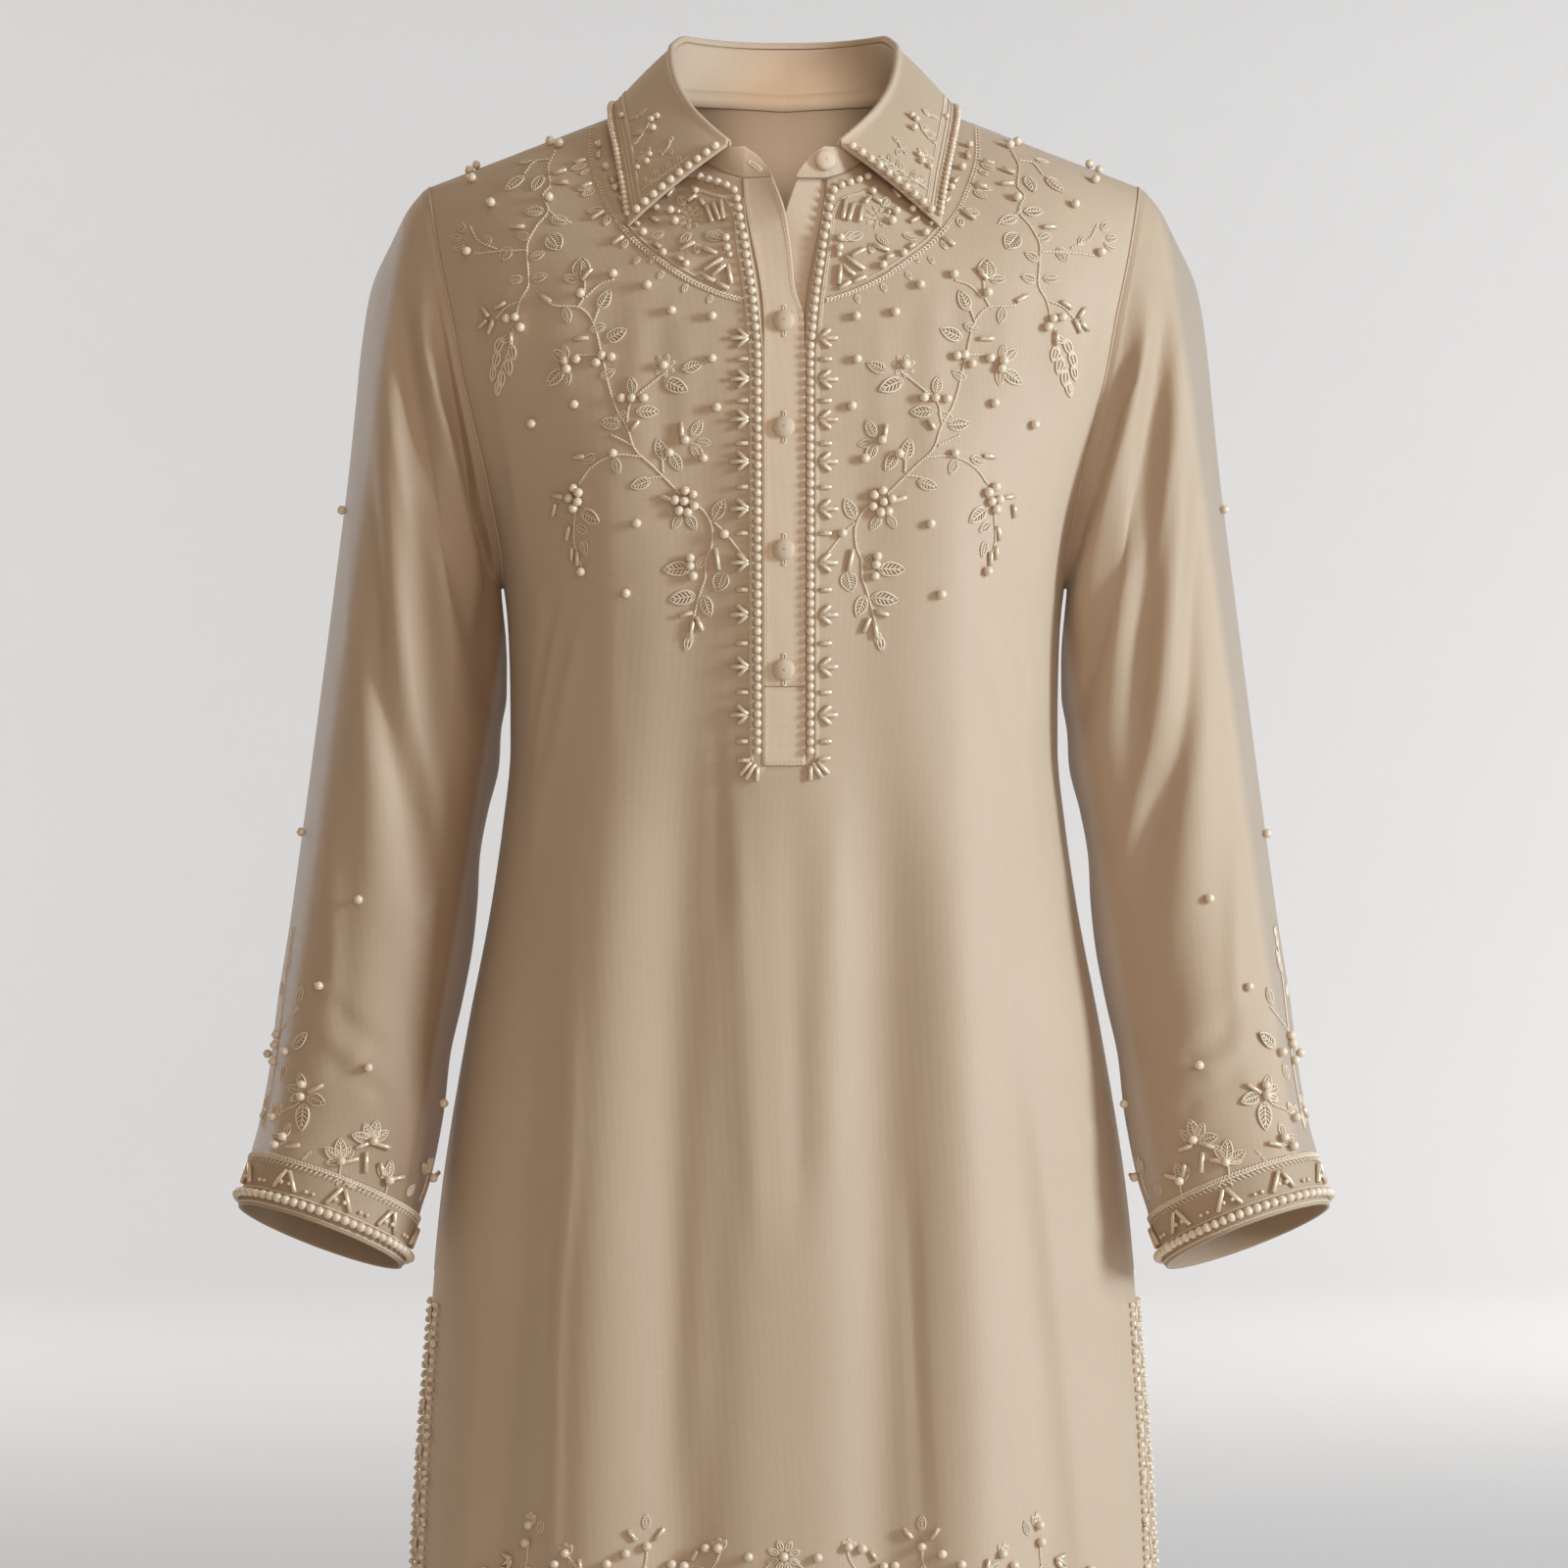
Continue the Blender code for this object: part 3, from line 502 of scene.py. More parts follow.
def clothMaterial(name, kind, alpha=1.0, threads=1200.0, bump=0.35):
    # crepe: a fine crossed weave of twisted threads, a soft pebble and faint uneven dye
    light, dark = cloths[kind + "Light"], cloths[kind + "Dark"]
    cloth = Nodes(name, Roughness=0.62, Sheen_Weight=0.25, Sheen_Roughness=0.45, Alpha=alpha)
    cloth.shader.inputs["Sheen Tint"].default_value = (1.0, 0.93, 0.82, 1)
    cloth.shader.inputs["Specular IOR Level"].default_value = 0.32
    place = cloth.place()
    x, y, z = (cloth.axis(place, which) for which in ("X", "Y", "Z"))
    around = x + y * 0.8
    warp = cloth.sine(around * threads) * 0.5 + 0.5
    weft = cloth.sine(z * threads) * 0.5 + 0.5
    pebble = cloth.noise(place, 900.0, 3.0)
    dye = cloth.noise(place, 9.0, 3.0)
    slubs = cloth.noise(cloth.add("ShaderNodeMapping", {}, {"Vector": place, "Scale": (260, 260, 30)}), 1.0)
    tone = dye * 0.55 + slubs * 0.2 + pebble * 0.25
    tone = cloth.colours(tone, dark, mixed(np.array(dark), np.array(light), 0.5), light)
    # the sheer sleeve cloth also gets painted shade beside the body
    cloth.feed("Base Color", sheerCloth(cloth, tone) if alpha < 1 else tone)
    cloth.feed("Roughness", pebble * 0.12 + 0.56)
    cloth.bump(warp * 0.25 + weft * 0.25 + pebble * 0.7, bump, 0.0003)
    return cloth.material


cloths = {
    "bodyLight": (0.61, 0.45, 0.31),
    "bodyDark": (0.51, 0.365, 0.24),
    "sleeveLight": (0.60, 0.435, 0.292),
    "sleeveDark": (0.51, 0.36, 0.232),
    "placketLight": (0.76, 0.58, 0.41),
    "placketDark": (0.66, 0.49, 0.335),
    "bandLight": (0.50, 0.36, 0.235),
    "bandDark": (0.41, 0.285, 0.18),
    "collarLight": (0.63, 0.465, 0.315),
    "collarDark": (0.52, 0.38, 0.255),
    "sleeveAlpha": 0.92,
    "outerSheer": 0.42,
    "innerSheer": 0.16,
    # distance from the middle at levelZ, slope, width and softness
    "outerEdge": (277.0, 0.134, 15.0, 7.0),
    "innerEdge": (171.5, 0.162, 10.0, 4.0),
    # painted shade beside the body: its reach as above, its strength on each sleeve and its colour
    "paintedShadeSide": (168.0, 0.162, 66.0, 66.0),
    "paintedShadeLeft": 0.9,
    "paintedShadeRight": 0.3,
    "paintedShade": (0.30, 0.175, 0.09),
    "levelZ": -400.0,
    "buttonLight": (0.69, 0.53, 0.37),
    "buttonDark": (0.60, 0.45, 0.31),
}


def sheerCloth(cloth, tone):
    # a sleeve is sheerest along its outlines; shade is painted into its colour beside the body
    place = cloth.place()
    across, down = (cloth.axis(place, which) for which in ("X", "Z"))
    onLeft = across.made("GREATER_THAN", across, 0.0)
    across = across.made("ABSOLUTE", across)

    def within(key, way):
        start, slope, width, soft = cloths[key]
        inside = (across - start * mm + (down - cloths["levelZ"] * mm) * slope) * way
        limits = {"Value": inside, "From Min": -width * mm, "From Max": (soft - width) * mm}
        return cloth.add("ShaderNodeMapRange", {"interpolation_type": "SMOOTHSTEP"}, limits)

    sheer = within("outerEdge", 1) * cloths["outerSheer"] + within("innerEdge", -1) * cloths["innerSheer"]
    cloth.feed("Alpha", cloths["sleeveAlpha"] - sheer)
    # the painted shade is stronger on the sleeve at negative x, which lies in the body's shadow
    paintedShadeStrength = onLeft * (cloths["paintedShadeRight"] - cloths["paintedShadeLeft"]) + cloths["paintedShadeLeft"]
    paintedShade = within("paintedShadeSide", -1) * paintedShadeStrength
    # a colour mix takes its share in socket 0, its colours in 6 and 7, and gives its result in 2
    colours = {0: paintedShade, 6: tone, 7: (*cloths["paintedShade"], 1)}
    return cloth.add("ShaderNodeMix", {"data_type": "RGBA"}, colours, out=2)


slotCloths = {
    "body_cloth": clothMaterial("opaque crepe", "body", threads=1500.0),
    "sleeve_cloth": clothMaterial("sheer crepe", "sleeve", cloths["sleeveAlpha"], threads=1500.0),
    "band_cloth": clothMaterial("band crepe", "band"),
    "placket_cloth": clothMaterial("placket crepe", "placket"),
    "collar_cloth": clothMaterial("collar crepe", "collar"),
    "button_cloth": clothMaterial("button cover", "button", bump=0.5),
}


def threadMaterial(name, light, dark):
    thread = Nodes(name, Roughness=0.45, Sheen_Weight=0.2)
    thread.shader.inputs["Specular IOR Level"].default_value = 0.5
    fine = thread.noise(thread.place(), 2600.0)
    thread.feed("Base Color", thread.colours(fine, dark, light))
    thread.feed("Roughness", fine * 0.2 + 0.36)
    thread.bump(fine, 0.4, 0.0002)
    return thread.material


def beadMaterial(name, light, dark, metal, roughness, coat):
    bead = Nodes(name, Metallic=metal, Coat_Weight=coat, Coat_Roughness=0.08, IOR=1.5)
    place = bead.place()
    lot = bead.noise(place, 160.0, 1.0)
    bead.feed("Base Color", bead.colours(lot, dark, light))
    bead.feed("Roughness", lot * 0.12 + roughness)
    bead.bump(bead.noise(place, 1400.0), 0.08, 0.0002)
    return bead.material


looks = {
    "thread": threadMaterial("silk thread", (0.92, 0.76, 0.56), (0.68, 0.52, 0.36)),
    # a dark leaf plate: painted shade between the stitches
    "ground": threadMaterial("painted leaf shade", (0.46, 0.32, 0.18), (0.36, 0.24, 0.13)),
    "pearl": beadMaterial("pearls", (0.90, 0.74, 0.56), (0.72, 0.55, 0.38), 0.0, 0.18, 0.7),
    "bugle": beadMaterial("bugle beads", (0.90, 0.74, 0.54), (0.64, 0.48, 0.31), 0.35, 0.24, 0.5),
}


# ---- body panels

def panelGrid(side, columns, lowRows, highRows):
    # half of a panel, from the middle to the side, with rows from the hem to the shoulder
    middleX = placket["topHalf"] if side == front else 0.0
    lowZ = np.concatenate([
        np.linspace(body["hemZ"], placket["endZ"], lowRows // 2 * 2),
        np.linspace(placket["endZ"], body["underarmZ"], lowRows // 4)[1:-1],
    ])
    shares = np.sin(np.linspace(0, math.pi / 2, highRows)) * 0.4 + np.linspace(0, 1, highRows) * 0.6
    levels = [(z, None) for z in lowZ] + [(None, share) for share in shares]
    spread = np.linspace(0, 1, columns)
    topX = mixed(middleX, body["shoulderHalf"], spread)
    topX[np.argmin(abs(topX - body["neckHalf"]))] = body["neckHalf"]
    topAngle = angleOf(topX, -body["shoulderFall"])
    topShare = (topAngle - topAngle[0]) / (topAngle[-1] - topAngle[0])
    rows = []
    for levelZ, share in levels:
        upper = share is not None
        outerZ = mixed(body["underarmZ"], -body["shoulderFall"], share) if upper else levelZ
        top = float(topEdgeZ(side, middleX)) if upper else 0
        middleZ = mixed(body["underarmZ"], top, share) if upper else levelZ
        innerX = float(slitHalf(middleZ)) if side == front else 0.0
        opened = eased(-outerZ, -body["sideSlitZ"], -body["hemZ"]) if outerZ < body["sideSlitZ"] else 0.0
        edgeY = body["seamGap"] / 2 + body["slitSpread"] * opened
        depth = frontDepth(outerZ) if side == front else backDepth(outerZ)
        lastAngle = math.acos((edgeY / depth) ** (body["sectionPower"] / 2))
        if upper and share > 0:
            lastAngle = angleOf(armholeX(outerZ), outerZ)
        firstAngle = angleOf(innerX, outerZ)
        even = 1 - eased(outerZ, *body["evenColumnsZ"])
        angle = mixed(firstAngle, lastAngle, mixed(topShare, spread, even))
        x = halfWidth(outerZ) * np.sin(angle) ** (2 / body["sectionPower"])
        z = mixed(body["underarmZ"], topEdgeZ(side, topX), share) if upper else levelZ + 0 * x
        rows.append(np.stack([x, z], axis=-1))
    return np.array(rows)


def panelPoints(side, columns, lowRows, highRows, middle=0):
    half = panelGrid(side, columns, lowRows, highRows)
    left = half[:, ::-1] * np.array([-1, 1])
    if side == front:
        share = np.linspace(0, 1, middle + 1)[1:-1, None]
        joint = left[:, -1:] * (1 - share) + half[:, :1] * share
        flat = np.concatenate([left, joint, half], axis=1)
    else:
        flat = np.concatenate([left[:, :-1], half], axis=1)
    points = onBody(side, flat[..., 0], flat[..., 1])
    # the shoulder seam and the side edges lie beside the other panel's
    x = flat[-1, :, 0]
    seam = abs(x) >= body["neckHalf"] - 0.01
    room = mixed(0.5, 0.2, eased(abs(x), body["neckHalf"], 170)) if side == front else 0.15 + 0 * x
    points[-1, seam, 1] = (shoulderY(x) + side * room)[seam]
    for column in (0, -1):
        low = flat[:, column, 1] <= body["underarmZ"] + 0.01
        points[low, column, 0] = flat[low, column, 0]
    return flat, points


meshSizes = {
    # columns from the middle to the side, rows below and above the underarm, columns across the slit
    "front": (100, 88, 66, 8),
    "back": (84, 56, 44),
}
frontFlat, frontPoints = panelPoints(front, *meshSizes["front"])
backPoints = panelPoints(back, *meshSizes["back"])[1]
frontKeep = np.ones((frontPoints.shape[0] - 1, frontPoints.shape[1] - 1), bool)
slitRows = frontFlat[:-1, 0, 1] >= placket["endZ"] - 1.5
slitStart = meshSizes["front"][0] - 1
frontKeep[slitRows, slitStart:slitStart + meshSizes["front"][3]] = False
frontPiece = sheetOf("front_cloth", frontPoints, (0, -1, 0), keep=frontKeep, wall=body["wall"])
carried(frontPiece, "body_cloth", "front")
carried(sheetOf("back_cloth", backPoints, (0, 1, 0), wall=body["wall"]), "body_cloth", "back")
print("body made")


# ---- sleeves

sleeve = {
    "columns": 122,
    "rows": 190,
    "cuffHeight": 30.0,
    "cuffLean": math.radians(15.5),
    "cuffForward": 8.0,
    "cuffNarrowing": 0.965,
    "cuffWall": 1.6,
    "cuffRows": 26,
    # creases: how much lower on the left, how far the back's stray from the front's, and their share
    "leftShift": 7,
    "backShift": (4, 16),
    "backShare": 0.85,
}
# rings from the cap to the wrist, as in the sleeve's solid
rings = {
    "outerX": (212, 221, 230, 241.5, 247.5, 251.5, 256, 261.5, 267,
               272.5, 278, 283.5, 289, 295, 299, 304.5, 308, 308.7),
    "outerZ": (-57.5, -69, -87, -113, -147, -187, -230, -274, -318,
               -361, -404, -447, -490, -531, -570, -602, -616.5, -620),
    "innerX": (165.8, 165.4, 164.4, 163.2, 162.6, 162.8, 166, 167.5, 173.5,
               178, 179.5, 182.5, 188, 194.5, 198, 204.5, 210.5, 211.5),
    "innerZ": (-291, -297, -307, -320, -336, -354, -374, -397, -421,
               -446, -473, -502, -532, -562, -596, -631, -651, -655),
    "halfDepth": (50, 52, 54.5, 57, 58.5, 59, 58.5, 58, 57, 56, 55, 54, 52, 50, 48, 46, 44.5, 44.2),
    "forward": (0, 0, 0, 0, 0, 0, 0, 1, 2, 3, 5, 9, 15, 22, 31, 39, 44, 45),
    "armholeShare": (1.0, 0.75, 0.45, 0.2, 0.06, 0, 0, 0, 0, 0, 0, 0, 0, 0, 0, 0, 0, 0),
}
# broad folds: ring from, ring to, angle from, angle to, half angle, height
sleeveFolds = (
    (2, 9, 88, 142, 15, 4.0),
    (2, 9, 62, 118, 13, -3.0),
    (3, 15, 48, 104, 16, 3.0),
    (5, 14, 92, 128, 13, -3.0),
    (3, 10, 232, 205, 16, -3.0),
    (4, 13, 262, 300, 18, 3.0),
)
# creases on the front of a sleeve, placed by distance from the middle and by height
sleeveCreases = (
    (7.5, 6, ((210, -100), (209, -125), (202, -179), (189, -236), (175, -292), (168, -330))),
    (-5.5, 7, ((224, -105), (221, -130), (215, -179), (203, -236), (186, -292), (174, -345), (168, -385))),
    (4.5, 9, ((236, -120), (232, -170), (226, -236), (223, -292), (217, -349), (206, -406), (188, -462))),
    (-4.5, 8, ((244, -170), (241, -236), (237, -292), (234, -349), (220, -406), (201, -462), (191, -519))),
    (1.8, 12, ((250, -320), (247, -360), (238, -420), (222, -480), (210, -540))),
    (1.2, 3, ((226, -150), (225, -190), (219, -240), (213, -285))),
    (1.3, 4, ((252, -230), (252, -290), (250, -350))),
    (-1.8, 6, ((262, -524), (252, -541), (236, -554), (222, -560))),
    (-1.6, 6, ((268, -566), (252, -571), (236, -579), (224, -590))),
    (1.4, 7, ((270, -545), (254, -557), (238, -568))),
    (-2.6, 9, ((196, -470), (202, -520), (207, -562), (212, -610))),
    (1.8, 7, ((262, -400), (262, -450), (260, -500), (262, -550))),
    (1.6, 7, ((193, -450), (205, -476), (218, -490))),
)
# the deep pocket where a sleeve tucks in beside the body: (height, half width) on each side
tuckLine = ((196, -108), (190, -160), (180, -224), (172, -284), (168, -336), (167, -376))
tucks = {-1: (-9.0, 8), 1: (-1.0, 7)}
ringNumbers = np.arange(len(rings["outerX"]))
ringAt = {key: through(ringNumbers, values) for key, values in rings.items()}


def armholeSeam():
    # the wearer's left armhole, from the underarm up the front and down the back
    heights = np.linspace(body["underarmZ"], -body["shoulderFall"], 120)
    x = armholeX(heights)
    fronts, backs = onBody(front, x, heights), onBody(back, x, heights)
    for line in (fronts, backs):
        line[0, 1] = line[-1, 1] = 0
    fronts[-1, 1] = backs[-1, 1] = body["shoulderSeamY"]
    return np.concatenate([fronts, backs[-2:0:-1]]), len(heights) - 1


def evenSeam(columns):
    seam, top = armholeSeam()
    steps = np.linalg.norm(np.roll(seam, -1, axis=0) - seam, axis=1)
    climb = np.cumsum(np.concatenate([[0], steps[:top]]))
    fall = np.cumsum(np.concatenate([[0], steps[top:]]))
    angles = np.concatenate([math.pi * (1 - climb / climb[-1]), -math.pi * fall[1:] / fall[-1]])
    seam = np.concatenate([seam, seam[:1]])
    want = math.pi - fullTurn(columns)
    order = np.argsort(angles)
    return want, readAt(want, angles[order], seam[order])


def sleevePoints():
    # the wearer's left sleeve, with its broad folds only
    angles, seam = evenSeam(sleeve["columns"])
    start = seam[np.argmin(seam[:, 2])]
    seamCentre = (start + seam[np.argmax(seam[:, 2])]) / 2
    reach = start - seamCentre
    capRows = 60
    numbers = np.concatenate([
        np.linspace(0, 4, capRows)[:-1],
        np.linspace(4, ringNumbers[-1], sleeve["rows"] - capRows),
    ])
    rows = [seam + np.array([0.5, 0, 0.1])]
    for number in numbers:
        r = {key: float(value(number)) for key, value in ringAt.items()}
        near, far = max(number - 1, 0), min(number + 1, ringNumbers[-1])
        fall = sum(float(ringAt[key](near) - ringAt[key](far)) for key in ("outerZ", "innerZ")) / 2
        tilt = math.atan(float(ringAt["forward"](far) - ringAt["forward"](near)) / fall)
        outer, inner = np.array([r["outerX"], 0, r["outerZ"]]), np.array([r["innerX"], 0, r["innerZ"]])
        centre = (outer + inner) / 2 - np.array([0, r["forward"], 0])
        across = (outer - inner) / 2
        ahead = np.array([0, -math.cos(tilt), math.sin(tilt)]) * r["halfDepth"]
        ringLine = centre + across * np.cos(angles)[:, None] + ahead * np.sin(angles)[:, None]
        own = seam - seamCentre
        ownLine = centre - across * (own @ reach / (reach @ reach))[:, None]
        ownLine[:, 1] += own[:, 1]
        line = mixed(ringLine, ownLine, r["armholeShare"])
        out = unit(line - centre)
        degrees = np.degrees(angles) % 360
        push = np.zeros(len(angles))
        for first, last, fromAngle, toAngle, half, height in sleeveFolds:
            along = (number - first) / (last - first)
            if 0 <= along <= 1:
                middle = mixed(fromAngle, toAngle, along)
                ridge = np.exp(-(((degrees - middle) / half) ** 2))
                push += height * math.sin(math.pi * along) ** 0.6 * ridge
        rows.append(line + out * push[:, None])
    return np.array(rows)


def outOf(points):
    # outward directions of a closed tube of points
    centres = points.mean(axis=1, keepdims=True)
    along = np.gradient(points, axis=0)
    around = np.roll(points, -1, axis=1) - np.roll(points, 1, axis=1)
    normal = unit(np.cross(around, along))
    return np.where(((points - centres) * normal).sum(-1, keepdims=True) < 0, -normal, normal)


def creasedSleeve(side):
    # the creases differ a little from side to side, and the first rows stay calm for the seam
    points = sleevePoints()
    normal = outOf(points)
    calm = eased(np.arange(len(points)), 1, 10)[:, None]
    frontShare = eased(-normal[..., 1], 0.05, 0.45)
    backShare = eased(normal[..., 1], 0.05, 0.45)
    shift = 0 if side < 0 else sleeve["leftShift"]
    x, z = points[..., 0], points[..., 2]
    across, lower = sleeve["backShift"]
    push = creaseHeight(((*tucks[side], tuckLine), *sleeveCreases), x, z + shift) * frontShare
    backPush = creaseHeight(sleeveCreases, x + across, z + lower - shift)
    push = push + backPush * backShare * sleeve["backShare"]
    points = points + normal * (push * calm)[..., None]
    if side < 0:
        points = points * np.array([-1, 1, 1])
    return points


def cuffPoints(last, side):
    centre = last.mean(axis=0)
    lean, height = sleeve["cuffLean"], sleeve["cuffHeight"]
    down = np.array([math.sin(lean) * side, 0, -math.cos(lean)]) * height
    down = down - np.array([0, sleeve["cuffForward"], 0])
    start = unit(down) * 0.4
    lines = []
    for share in np.linspace(0, 1, sleeve["cuffRows"]):
        size = mixed(1.0, sleeve["cuffNarrowing"], share) * 1.006
        lines.append(centre + (last - centre) * size + start + down * share)
    return np.array(lines)


cuffs = {}
sleeves = {}
for side, name in ((1, "left"), (-1, "right")):
    sleeves[side] = creasedSleeve(side)
    carried(tubeOf(f"sleeve_{name}_cloth", sleeves[side]), "sleeve_cloth", f"sleeve_{name}")
    cuffs[side] = cuffPoints(sleeves[side][-1], side)
    cuff = tubeOf(f"cuff_{name}_cloth", cuffs[side], sleeve["cuffWall"])
    carried(cuff, "band_cloth", f"cuff_band_{name}")
print("sleeves made")


# ---- collar

collar = {
    "along": (0, 0.08, 0.17, 0.33, 0.4, 0.47, 0.535, 0.6, 0.75, 0.9, 1),
    "foldX": (0, 15, 32, 58, 63.5, 66.5, 66, 64, 56, 43.5, 31.6),
    "foldY": (62, 61.4, 58, 39, 26, 12, -2, -16, -42, -60, -71),
    "foldZ": (37, 37.1, 37.5, 38.5, 35, 29, 20, 10, -8, -23, -34),
    "edgeX": (0, 21.5, 45, 83.5, 93.5, 101, 102.6, 102.3, 98.6, 93.5, 90.4),
    "edgeY": (77, 74.5, 63.5, 42, 27, 12, -2, -15.5, -43.5, -67, -81.5),
    "edgeZ": (-9, -8.5, -7.5, -7, -6.5, -8.2, -12, -18.8, -39, -65.5, -85.4),
    "endBaseX": (24, 17, 11, 7.2),
    "endTopX": (23, 15.5, 10, 7),
    "endTopZ": (-38, -43.5, -50.5, -56),
    "fallEndX": 31.0,
    "roll": 1.9,
    "wall": 1.2,
    "columns": 110,
    # the fall: rows over the fold, rows of its leaf, drops inside the fold, where the leaf starts, its puff
    "foldRows": 9,
    "leafRows": 26,
    "innerDrops": (4.0, 3.0),
    "leafOut": 0.6,
    "leafDrop": 4.0,
    "leafPuff": 3.2,
    "standDrop": 4.4,
}
crestAt = [through(collar["along"], collar["fold" + axis]) for axis in "XYZ"]
edgeAt = [through(collar["along"], collar["edge" + axis]) for axis in "XYZ"]


def neckSeam():
    # half of the seam under the stand, from the middle of the back to the placket
    turn = np.linspace(math.pi / 2, math.asin(placket["topHalf"] / body["neckHalf"]), 90)
    backX = np.linspace(0, body["neckHalf"], 60)
    points = []
    for side, x in ((back, backX), (front, body["neckHalf"] * np.sin(turn))):
        z = topEdgeZ(side, x)
        line = onBody(side, x, z, fine=False)
        below = onBody(side, x, z - 2.0, fine=False)
        run = unit(np.gradient(line, axis=0))
        onward = line - below
        onward = unit(onward - run * (onward * run).sum(-1, keepdims=True))
        points.append(line + onward * 0.1)
    return np.concatenate([points[0][:-1], points[1]])


def collarFrames():
    seam = neckSeam()
    lengths = lengthsAlong(seam)
    frontPart = (seam[:, 1] < 0) & (seam[:, 0] <= collar["fallEndX"] + 0.5)
    lengths /= lengths[np.argmax(frontPart)]
    along = np.linspace(0, 1, collar["columns"])
    base = readAt(along, lengths, seam)
    crest = np.stack([read(along) for read in crestAt], axis=1)
    run = np.stack([read(along + 0.02) - read(along - 0.02) for read in crestAt], axis=1)
    out = unit(np.stack([-run[:, 1], run[:, 0], 0 * along], axis=1))
    edge = np.stack([read(along) for read in edgeAt], axis=1)
    return base, crest, out, edge


def standEnd(side, crest):
    numbers = np.linspace(0, 3, 22)
    order = np.arange(4)
    keys = ("endBaseX", "endTopX", "endTopZ")
    baseX, topX, topZ = (through(order, collar[key])(numbers) for key in keys)
    place = onBody(front, side * baseX, placket["topZ"], fine=False)
    lift = placket["overLift"] if side < 0 else -0.6
    forward = placket["proud"] - 0.4 + lift * (numbers / 3) ** 2
    low = place + np.stack([0 * forward, -forward, 0 * forward + 0.4], axis=1)
    slope = (topZ - low[:, 2]) / (crest[2] - low[:, 2])
    crestY = mixed(crest[1] - 1.0, low[:, 1], 0.2)
    high = np.stack([side * topX, mixed(low[:, 1], crestY, slope), topZ], axis=1)
    return low, high


def collarGrids():
    base, crest, out, edge = collarFrames()
    roll, flip = collar["roll"], np.array([-1, 1, 1])
    top = crest - out * (roll - collar["wall"]) - up * collar["standDrop"]
    left, right = standEnd(-1, crest[-1]), standEnd(1, crest[-1])
    low = np.concatenate([left[0][::-1], base[:0:-1] * flip, base, right[0]])
    high = np.concatenate([left[1][::-1], top[:0:-1] * flip, top, right[1]])
    shares = np.linspace(0, 1, 16)[:, None, None]
    stand = low * (1 - shares) + high * shares
    turn = np.radians((180, 150, 120, 90, 60, 30, 0))[:, None, None]
    bend = crest - up * roll + out * roll * np.cos(turn) + up * roll * np.sin(turn)
    inner = crest - out * roll - up * np.array(collar["innerDrops"])[:, None, None]
    start = crest + out * (roll + collar["leafOut"]) - up * collar["leafDrop"]
    pull = mixed(start, edge, 0.5) + (out + up * 0.6) * collar["leafPuff"]
    t = np.linspace(0, 1, collar["leafRows"])[:, None, None]
    outside = start * (1 - t) ** 2 + pull * 2 * t * (1 - t) + edge * t * t
    half = np.concatenate([inner, bend, outside])
    fall = np.concatenate([half[:, :0:-1] * flip, half], axis=1)
    # a slight lift and waver of the free edge, and of the points
    share = np.linspace(-1, 1, fall.shape[1])
    down = np.concatenate([np.zeros(collar["foldRows"]), np.linspace(0, 1, collar["leafRows"]) ** 2])[:, None]
    waver = 0.5 * np.sin(9 * share + 0.6) + 0.35 * np.sin(23 * share)
    fall[..., 2] += down * waver
    fall[..., 1] -= down * (0.6 * np.sin(7 * share)) * (abs(share) > 0.55)
    return stand, fall


standGrid, fallGrid = collarGrids()


def fromNeck(centres):
    return centres * np.array([1, 1, 0]) + np.array([0, 6, 0])


for name, grid in (("stand", standGrid), ("fall", fallGrid)):
    piece = sheetOf(f"collar_{name}_cloth", grid, fromNeck, wall=collar["wall"])
    carried(piece, "collar_cloth", f"collar_{name}")

# ---- placket

freeEdge = {
    "z": (-350, -155, -138, -124, -99, -76, -57),
    "over": (11.7, 11.7, 11.2, 6.8, 3.9, 0, -6.8),
    "under": (-9, -9, -8.5, -7.5, -5, 1, 7.2),
}
overEdge = through(freeEdge["z"], freeEdge["over"])
underEdge = through(freeEdge["z"], freeEdge["under"])
boxTop = placket["endZ"] + placket["boxHeight"]


def rolled(share, right, left, width):
    # the rounded edges of a folded strip
    return right * np.exp(-((1 - share) / width) ** 2) + left * np.exp(-((share / width) ** 2))


def overOffset(share, z):
    lift = placket["overLift"] * share**2 * eased(z, placket["liftZ"], placket["topZ"])
    return placket["proud"] + lift + rolled(share, 0.35, 0.25, 0.08)


def underOffset(share, z):
    return -placket["underDepth"] - (1 - share) ** 2 * eased(z, placket["liftZ"], placket["topZ"])


def boxOffset(share, z):
    return placket["proud"] + rolled(share, 0.25, 0.25, 0.07)


def stripGrid(low, high, leftX, rightX, offset):
    z = np.linspace(low, high, int((high - low) / placket["rowStep"]))[:, None]
    share = np.linspace(0, 1, placket["columns"])[None]
    points = onBody(front, mixed(leftX(z), rightX(z), share), z, fine=False)
    pucker = 0.12 * np.sin(z / 7.3 + 2 * share) * np.sin(math.pi * share)
    points[..., 1] -= offset(share, z) + pucker
    return points


def boxEdge(side):
    return lambda z: side * placket["boxHalf"] + 0 * z


gap = body["seamGap"]
overGrid = stripGrid(boxTop + gap, placket["topZ"], lambda z: gap - slitHalf(z), overEdge, overOffset)
underGrid = stripGrid(boxTop + gap, placket["topZ"], underEdge, lambda z: slitHalf(z) + 3.0, underOffset)
boxGrid = stripGrid(placket["endZ"] + gap, boxTop, boxEdge(-1), boxEdge(1), boxOffset)
for name, grid in (("over", overGrid), ("under", underGrid), ("box", boxGrid)):
    strip = sheetOf(f"placket_{name}_cloth", grid, (0, -1, 0), wall=body["wall"])
    carried(strip, "placket_cloth", f"placket_{name}")

# ---- buttons

